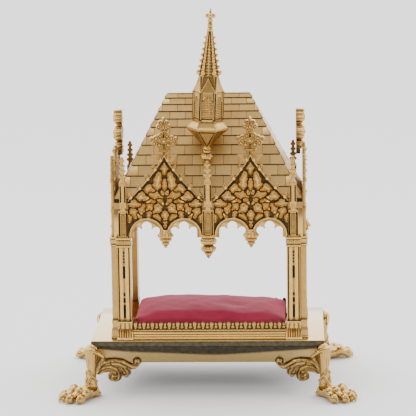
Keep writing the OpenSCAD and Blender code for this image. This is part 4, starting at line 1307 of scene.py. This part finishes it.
def roof_form(low_half, top_half, slope_len, seed):
    """One slope of stepped plates: x across, y down the slope from the ridge and z out of it."""
    rng = np.random.default_rng(seed)
    spread = (low_half - top_half) / slope_len
    size = math.hypot(1, spread)
    hips = [(side / size, -spread / size, top_half / size) for side in (-1, 1)]
    form = Form()
    sheet = [(-top_half, 0), (top_half, 0), (low_half, slope_len), (-low_half, slope_len)]
    if top_half < 0.1:
        sheet = [(0, 0), (low_half, slope_len), (-low_half, slope_len)]
    count = len(sheet)
    verts = [(x, y, z) for z in (-SHEET_T, 0.0) for x, y in sheet]
    faces = [tuple(range(count)), tuple(reversed(range(count, 2 * count)))]
    faces += [(i, (i + 1) % count, count + (i + 1) % count, count + i) for i in range(count)]
    # The sheet under the plates is painted dark, as painted shadow where it shows between them.
    form.join(outward(Form().add(verts, faces, 0.8)))
    edges = [slope_len * (0.62 * k / COURSES + 0.38 * (k / COURSES) ** 1.9) for k in range(COURSES + 1)]
    number = int(low_half / BRICK) + 2
    for k in range(COURSES):
        top, bottom = edges[k], edges[k + 1]
        shift = BRICK / 2 * (k % 2)
        for n in range(-number, number + 1):
            left = n * BRICK + shift
            right = left + BRICK - 2 * JOINT
            outline = [(left, top), (right, top), (right, bottom - SHADOW_GAP), (left, bottom - SHADOW_GAP)]
            for hip in hips:
                outline = clipped(outline, hip)
                if len(outline) < 3:
                    break
            if len(outline) < 3:
                continue
            area = 0.5 * sum(p[0] * q[1] - q[0] * p[1] for p, q in zip(outline, outline[1:] + outline[:1]))
            if abs(area) < 1.5:
                continue
            middle = np.mean(outline, axis=0)
            lift = rng.uniform(-0.06, 0.06)
            tilt = rng.uniform(-0.004, 0.004)
            ring = len(outline)
            low_ring, mid_ring, top_ring = [], [], []
            for x, y in outline:
                thick = 0.35 + 0.95 * (y - top) / (bottom - top) + lift + tilt * (x - middle[0])
                low_ring.append((x, y, 0.0))
                mid_ring.append((x, y, thick - 0.16))
                gap = math.hypot(x - middle[0], y - middle[1])
                t = min(0.28 / max(gap, 0.5), 0.4)
                top_ring.append((x + t * (middle[0] - x), y + t * (middle[1] - y), thick))
            verts = low_ring + mid_ring + top_ring
            faces = [tuple(reversed(range(ring))), tuple(range(2 * ring, 3 * ring))]
            for band in (0, ring):
                for i in range(ring):
                    low, next_low = band + i, band + (i + 1) % ring
                    faces.append((low, next_low, ring + next_low, ring + low))
            tone = rng.uniform(0.0, 0.28)
            # The plates' lower rings and sides are painted dark as painted shade; their faces vary in tone at
            # random.
            shade = [0.9] * ring + [0.75] * ring + [tone] * ring
            form.join(outward(Form().add(verts, faces, shade)))
    return form


def build_roof():
    """Four slopes of stepped plates."""
    low, high = cad("roof_front")
    ridge_z, eave_z = high[2], RAKE_Z
    middle_x, middle_y = (LEFT_X + RIGHT_X) / 2, (FRONT_Y + BACK_Y) / 2
    half_run = middle_y - low[1]
    eave_half = (high[0] - low[0]) / 2
    end_low, end_high = cad("roof_right")
    ridge_half = end_low[0] - middle_x
    end_run = end_high[0] - end_low[0]
    rise = ridge_z - eave_z
    for seed, (name, turn, run, eave, top, shift) in enumerate((
        ("front", 0, half_run, eave_half, ridge_half, 0.0),
        ("back", 180, half_run, eave_half, ridge_half, 0.0),
        ("right", 90, end_run, half_run, 0.0, ridge_half),
        ("left", -90, end_run, half_run, 0.0, ridge_half),
    )):
        slope_len = math.hypot(run, rise)
        form = roof_form(eave, top, slope_len, seed)
        pitch = math.atan2(rise, run)
        down = Matrix(((1, 0, 0, 0), (0, -math.cos(pitch), -math.sin(pitch), 0),
                       (0, -math.sin(pitch), math.cos(pitch), 0), (0, 0, 0, 1)))
        place = Matrix.Translation((middle_x, middle_y, 0)) @ Matrix.Rotation(math.radians(turn), 4, "Z")
        place = place @ Matrix.Translation((0, -shift, ridge_z)) @ down
        piece(f"stepped_roof_{name}", form, "roof", [f"roof_{name}"], place, 30, hollows=0)


# ---------------------------------------------------------------- turret


# Turned parts of the turret as (radius, height above the foot)
KNOB = [
    (0.4, 0), (3.0, 0.5), (5.4, 1.7), (7.0, 3.3), (7.5, 4.8), (7.0, 6.4), (5.2, 8.0), (3.6, 9.0), (3.2, 9.6),
    (4.6, 10.2), (4.8, 11.2), (3.8, 12.2), (3.4, 12.8), (4.6, 13.6), (4.6, 14.6), (3.4, 15.6),
]
TIP = [
    (3.0, 0), (3.6, 0.8), (3.6, 2.4), (2.8, 3.4), (2.6, 4.6), (3.3, 5.4), (3.3, 7.0), (2.4, 8.0), (2.1, 10),
    (2.3, 12), (2.2, 16), (1.6, 19), (1.7, 20.4), (1.2, 22.6),
]


def build_turret():
    """The turret in front of the roof, from its knob to its finial."""
    lean = Matrix.Rotation(math.radians(TURRET_LEAN), 4, "Y")
    place = Matrix.Translation((TURRET_X, TURRET_Y, STAY_Z)) @ lean @ Matrix.Translation((0, 0, -STAY_Z))
    build_knob(place)
    build_corbel(place)
    build_turret_body(place)
    build_spire(place)
    build_tip(place)


def build_knob(place):
    """The fluted knob below the turret."""
    profile = raised(KNOB, KNOB_Z) + [(3.2, CORBEL_Z)]
    knob = lathe(profile, 48, 360, (0, 0), 8, 0.12)
    piece("fluted_knob", knob, "cast", ["turret_knob"], place, 50)


def build_corbel(place):
    """The leafy corbel that spreads from the knob to the rim."""
    low, high = CORBEL_Z, RIM_Z
    rim = RIM_R

    def corbel_radius(z):
        rise = min(max((z - low) / (high - 1.6 - low), 0), 1)
        return 3.6 + (rim - 4.2) * rise if z < high - 1.6 else rim - 0.4

    def corbel_detail(u, half, z):
        if z >= high - 1.6:
            return 0.0, 0.1
        edge = half - abs(u)
        if edge < 1.2 or z > high - 3.6:
            return 0.6, 0.0
        # This groove is painted dark as painted shade.
        if edge < 2.2 or z > high - 4.6:
            return -0.7, 0.9
        # The pitted face is darker where it is sunk: painted shade.
        grain = math.sin(u * 2.9 + z * 2.1) * math.sin(u * 2.9 - z * 2.1)
        return -0.3 + 0.3 * grain, 0.4 - 0.45 * grain

    levels = list(np.linspace(low, high - 1.65, 60)) + list(np.linspace(high - 1.6, high, 5))
    corbel = hex_tower(levels, corbel_radius, corbel_detail, 0.6)
    piece("leafy_corbel", corbel, "cast", ["turret_corbel"], place, 45)


def build_turret_body(place):
    """The panelled body above the rim, with a slender shaft at each corner."""
    rim = RIM_R
    low, high = RIM_Z, SPIRE_Z
    foot, face_top = low + 7, 341.0

    def body_radius(z):
        if z < foot:
            return rim - 1.6 - (rim - 1.6 - 17) * ((z - low) / 7) ** 0.8
        if z < face_top:
            return 16.6
        return 16.8 - (16.8 - 11.6) * (z - face_top) / (high - face_top)

    def body_detail(u, half, z):
        edge = half - abs(u)
        if z < foot:
            return (0.4 if edge < 1.0 else 0.0), 0.1 + (0.5 if z > foot - 1.2 else 0.0)
        if z > face_top:
            roof = (z - face_top) / (high - face_top)
            gablet = half * (1 - roof) * 1.05
            # The gablets' rims are painted bright as painted highlights, and the sunk ground beside them dark
            # as painted shade.
            if abs(u) < gablet:
                rim_line = 0.6 if gablet - abs(u) < 1.0 else 0.1
                return rim_line, 0.5 - 0.8 * rim_line
            return -0.9, 0.7
        # Corner edges are painted bright as painted highlights, and the grooves beside them dark as painted
        # shade.
        if edge < 1.5:
            return 0.5, 0.0
        if edge < 2.3:
            return -1.0, 1.0
        arch_top = face_top - 5 - 0.16 * u * u
        # The pitted panels are darker where they are sunk: painted shade.
        if foot + 3 < z < arch_top:
            grain = math.sin(u * 1.9 + z * 1.6) * math.sin(u * 1.9 - z * 1.6)
            return -1.1 + 0.5 * grain, 0.45 - 0.6 * grain
        # The raised rules are painted bright as painted highlights beside the darker ground.
        rim_line = abs(z - arch_top) < 0.9 or abs(z - foot - 2.4) < 0.8
        return (0.1 if rim_line else -0.3), (0.0 if rim_line else 0.4)

    levels = list(np.linspace(low, foot - 0.1, 9)) + list(np.linspace(foot, high, 84))
    body = hex_tower(levels, body_radius, body_detail, 0.55)
    profile = [(1.5, foot), (1.5, foot + 2.4), (1.0, foot + 3), (1.0, face_top - 2), (1.6, face_top - 1.2),
               (1.6, face_top), (0.9, face_top + 1.2)]
    for spot in hexagon(16.4):
        body.join(lathe(profile, 12, 360, spot))
    piece("panelled_turret", body, "cast", ["turret_body"], place, 45)


def build_spire(place):
    """The spire with crockets up its six corners."""
    low, high = SPIRE_Z, SPIRE_TOP_Z
    spire_r = SPIRE_R

    def spire_radius(z):
        rise = (z - low) / (high - low)
        return spire_r - 0.6 - (spire_r - 3.4) * rise**0.92

    def spire_detail(u, half, z):
        edge = half - abs(u)
        # Corner edges and ribs are painted bright as painted highlights, and the grooves and the scales'
        # hollows dark as painted shade.
        if edge < 0.8:
            return 0.5, 0.0
        if edge < 1.4:
            return -0.5, 0.9
        rib = math.exp(-((u / 0.7) ** 2))
        scale = math.cos(2 * math.pi * z / 3.2)
        return -0.3 + 0.5 * rib + 0.2 * scale, 0.6 - 0.6 * rib - 0.35 * scale

    spire = hex_tower(list(np.linspace(low, high, 90)), spire_radius, spire_detail, 0.6, 12.0)
    for k in range(7):
        z = low + 3.5 + 6.4 * k
        radius = spire_radius(z) + 0.9
        for i in range(6):
            a = math.radians(60 * i)
            size = 2.0 - 0.1 * k + (0.7 if k == 0 else 0.0)
            spot = (radius * math.cos(a), radius * math.sin(a), z)
            turn = Matrix.Rotation(a, 4, "Z") @ Matrix.Rotation(math.radians(-35), 4, "Y")
            spire.join(ball(spot, (size * 1.25, size * 0.8, size), turn, 12, 8))
    piece("crocketed_spire", spire, "cast", ["turret_spire"], place, 45)


def build_tip(place):
    """The finial of buds on top of the spire."""
    low = SPIRE_TOP_Z
    tip = lathe(raised(TIP, low) + [(0.3, TIP_Z)], 24)
    for i in range(4):
        a = math.radians(90 * i)
        tip.join(ball((3.4 * math.cos(a), 3.4 * math.sin(a), low + 17.0), (2.5, 2.2, 2.7), None, 14, 10))
        tip.join(ball((1.7 * math.cos(a), 1.7 * math.sin(a), low + 11.6), (1.5, 1.3, 1.4), None, 12, 8))
    piece("bud_finial", tip, "cast", ["turret_finial"], place, 50)


# ---------------------------------------------------------------- cushion


def build_cushion():
    """The loose velvet cushion, stuffed by a cloth simulation."""
    low, high = cad("cushion")
    middle = ((low[0] + high[0]) / 2, (low[1] + high[1]) / 2)
    half_x, half_y = (high[0] - low[0]) / 2, (high[1] - low[1]) / 2
    tall = high[2] - low[2]
    across, deep = 48, 32
    mesh = bmesh.new()
    grids = []
    for face in (0, 1):
        rows = []
        for i in range(across + 1):
            row = []
            for j in range(deep + 1):
                u, v = 2 * i / across - 1, 2 * j / deep - 1
                pull_x = 1 - 0.012 * (1 - v * v)
                pull_y = 1 - 0.014 * (1 - u * u)
                x, y = u * (half_x + 5.0) * pull_x, v * (half_y + 1.5) * pull_y
                crown = (1 - abs(u) ** 26) ** 0.55 * (1 - abs(v) ** 14) ** 0.6
                swell = 0.84 + 0.16 * (1 - u * u) ** 0.6 * (1 - v * v) ** 0.4
                if face:
                    z = low[2] + 2 + (tall - 7) * (0.36 + 0.6 * crown * swell)
                else:
                    z = low[2] + 1.2 + (tall - 5) * 0.34 * (1 - crown)
                row.append((x + middle[0], y + middle[1], z))
            rows.append(row)
        grids.append(rows)
    table = {}
    for face, rows in enumerate(grids):
        for i, row in enumerate(rows):
            for j, spot in enumerate(row):
                edge = i in (0, across) or j in (0, deep)
                if edge and face:
                    table[1, i, j] = table[0, i, j]
                    continue
                table[face, i, j] = mesh.verts.new([value * MM for value in spot])
    for face in (0, 1):
        for i in range(across):
            for j in range(deep):
                ring = [table[face, m, n] for m, n in ((i, j), (i + 1, j), (i + 1, j + 1), (i, j + 1))]
                mesh.faces.new(ring if face else ring[::-1])
    bmesh.ops.recalc_face_normals(mesh, faces=mesh.faces)
    data = bpy.data.meshes.new("velvet_cushion")
    mesh.to_mesh(data)
    mesh.free()
    made = added("velvet_cushion", data)
    melt = made.modifiers.new("melt", "REMESH")
    melt.mode = "VOXEL"
    melt.voxel_size = 4.5 * MM
    settle(made, melt.name)
    cloth = made.modifiers.new("stuffing", "CLOTH")
    cloth.settings.quality = 6
    cloth.settings.mass = 0.3
    cloth.settings.use_pressure = True
    cloth.settings.uniform_pressure_force = 3.0
    cloth.settings.effector_weights.gravity = 0.0
    cloth.point_cache.frame_start = 1
    cloth.point_cache.frame_end = 20
    start = np.array([v.co[:] for v in made.data.vertices])
    for number in range(1, 21):
        bpy.context.scene.frame_set(number)
    deps = bpy.context.evaluated_depsgraph_get()
    stuffed = np.array([v.co[:] for v in made.evaluated_get(deps).data.vertices])
    made.modifiers.remove(cloth)
    bpy.context.scene.frame_set(1)
    moved = stuffed - start
    size = np.linalg.norm(moved, axis=1, keepdims=True)
    moved *= np.minimum(1.0, 4.0 * MM / np.maximum(size, 1e-9))
    made.data.vertices.foreach_set("co", (start + moved).ravel())
    dents(made, middle, (half_x, half_y), low, high)
    finer = made.modifiers.new("finer", "SUBSURF")
    finer.levels = 1
    finer.render_levels = 1
    settle(made, finer.name)
    made.data.shade_smooth()
    dress(made, "velvet")
    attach(made, "cushion")
    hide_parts("cushion")


def settle(made, name):
    """Applies one modifier."""
    deps = bpy.context.evaluated_depsgraph_get()
    baked = bpy.data.meshes.new_from_object(made.evaluated_get(deps))
    made.modifiers.remove(made.modifiers[name])
    old = made.data
    made.data = baked
    bpy.data.meshes.remove(old)


# Rises and hollows of the cushion's top: place as a share of its half sizes, width and lift
DENTS = [
    (-0.4, 0.1, 0.3, 1.0), (0.3, -0.1, 0.16, -2.0), (-0.9, -0.7, 0.16, -2.0), (-0.05, -0.7, 0.22, -1.4),
    (-0.25, -0.35, 0.1, 0.8), (0.65, 0.0, 0.2, 0.6), (0.5, -0.75, 0.2, -1.0),
]


def dents(made, middle, halves, low, high):
    """Presses soft dents into the cushion's top and keeps it clear of what surrounds it."""
    points = np.array([v.co[:] for v in made.data.vertices]) / MM
    u = (points[:, 0] - middle[0]) / halves[0]
    v = (points[:, 1] - middle[1]) / halves[1]
    top = step(points[:, 2], low[2] + 10, high[2] - 6)
    for x, y, size, lift in DENTS:
        points[:, 2] += lift * top * np.exp(-((u - x) ** 2 + (v - y) ** 2 * 0.6) / size**2)
    points[:, 2] -= top * (0.8 + 2.7 * step(u, 0.05, 0.5) - 0.9 * bump(u, 0.78, 0.16))
    points[:, 2] += 0.25 * top * np.sin(u * 21 + 3 * v) * np.sin(v * 13 + 2 * u)
    for axis in range(3):
        spare = np.where(points[:, 2] > POST_FOOT_Z + 1, 1.7, 0.0) if axis == 0 else 0.0
        points[:, axis] = points[:, axis].clip(low[axis] + 0.1 - spare, high[axis] - 0.1 + spare)
    made.data.vertices.foreach_set("co", (points * MM).ravel())


# ---------------------------------------------------------------- kept CAD pieces, studio and camera


def dress_cad():
    """Finishes for the hidden fixings, bars and board, which keep their CAD shapes."""
    for node in ("post_rods", "post_nuts", "gable_screws", "turret_tie_rod", "turret_stay"):
        dress(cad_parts[node], "fixing")
    for side in SIDES:
        dress(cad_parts[f"eaves_bar_{side}"], "dull")
    dress(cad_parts["cushion_board"], "board")


# Brightness of the surround in front of the object, where its reflections are dark, and behind it
WORLD_FRONT = 0.14
WORLD_BACK = 3.2


def build_studio():
    """A pale floor, soft lights and a surround that is bright behind the object."""
    mesh = bmesh.new()
    bmesh.ops.create_grid(mesh, x_segments=2, y_segments=2, size=6.0)
    data = bpy.data.meshes.new("floor")
    mesh.to_mesh(data)
    mesh.free()
    floor = added("floor", data)
    data.materials.append(floor_white())
    world = bpy.data.worlds.new("surround")
    world.use_nodes = True
    tree = world.node_tree
    place = tree.nodes.new("ShaderNodeTexCoord")
    split = tree.nodes.new("ShaderNodeSeparateXYZ")
    tree.links.new(place.outputs["Generated"], split.inputs[0])
    behind = sums(tree, "MULTIPLY", sums(tree, "ADD", split.outputs["Y"], 0.35), 2.2, True)
    above = sums(tree, "MULTIPLY", split.outputs["Z"], 1.0, True)
    level = sums(tree, "MAXIMUM", behind, sums(tree, "MULTIPLY", above, 0.35))
    strength = sums(tree, "ADD", sums(tree, "MULTIPLY", level, WORLD_BACK - WORLD_FRONT), WORLD_FRONT)
    tree.links.new(strength, tree.nodes["Background"].inputs["Strength"])
    tree.nodes["Background"].inputs["Color"].default_value = (1, 1, 1, 1)
    bpy.context.scene.world = world
    for name, place, size, power in (
        ("key", (-1.5, -1.5, 1.5), 0.9, 15),
        ("fill", (1.7, -1.3, 0.9), 0.7, 7),
        ("front", (0.3, -2.6, 1.7), 0.4, 3),
        ("top", (0.0, -0.2, 2.2), 1.0, 9),
    ):
        light = bpy.data.lights.new(name, "AREA")
        light.size = size
        light.energy = power
        lamp = added(name, light)
        lamp.location = place
        aim = Vector((0, 0, 0.2)) - Vector(place)
        lamp.rotation_euler = aim.to_track_quat("-Z", "Y").to_euler()


def build_camera():
    """A long lens, slightly above and to the right of the front."""
    yaw, pitch, roll = math.radians(2.465), math.radians(10.448), math.radians(-0.808)
    place = Vector((103.886, -2428.793, 647.357)) * MM
    ahead = Vector((-math.sin(yaw) * math.cos(pitch), math.cos(yaw) * math.cos(pitch), -math.sin(pitch)))
    level = Vector((math.cos(yaw), math.sin(yaw), 0))
    upward = level.cross(ahead)
    right = level * math.cos(roll) + upward * math.sin(roll)
    top = upward * math.cos(roll) - level * math.sin(roll)
    lens = bpy.data.cameras.new("camera")
    lens.sensor_fit = "HORIZONTAL"
    lens.sensor_width = 36
    lens.lens = 187.96
    lens.clip_end = 50
    camera = added("camera", lens)
    turn = Matrix((right, top, -ahead)).transposed().to_4x4()
    camera.matrix_world = Matrix.Translation(place) @ turn
    bpy.context.scene.camera = camera


build_plinth()
build_feet()
build_posts()
build_rails()
build_gables()
build_buttresses()
build_roof()
build_turret()
build_cushion()
dress_cad()
build_studio()
build_camera()

bpy.context.view_layer.update()
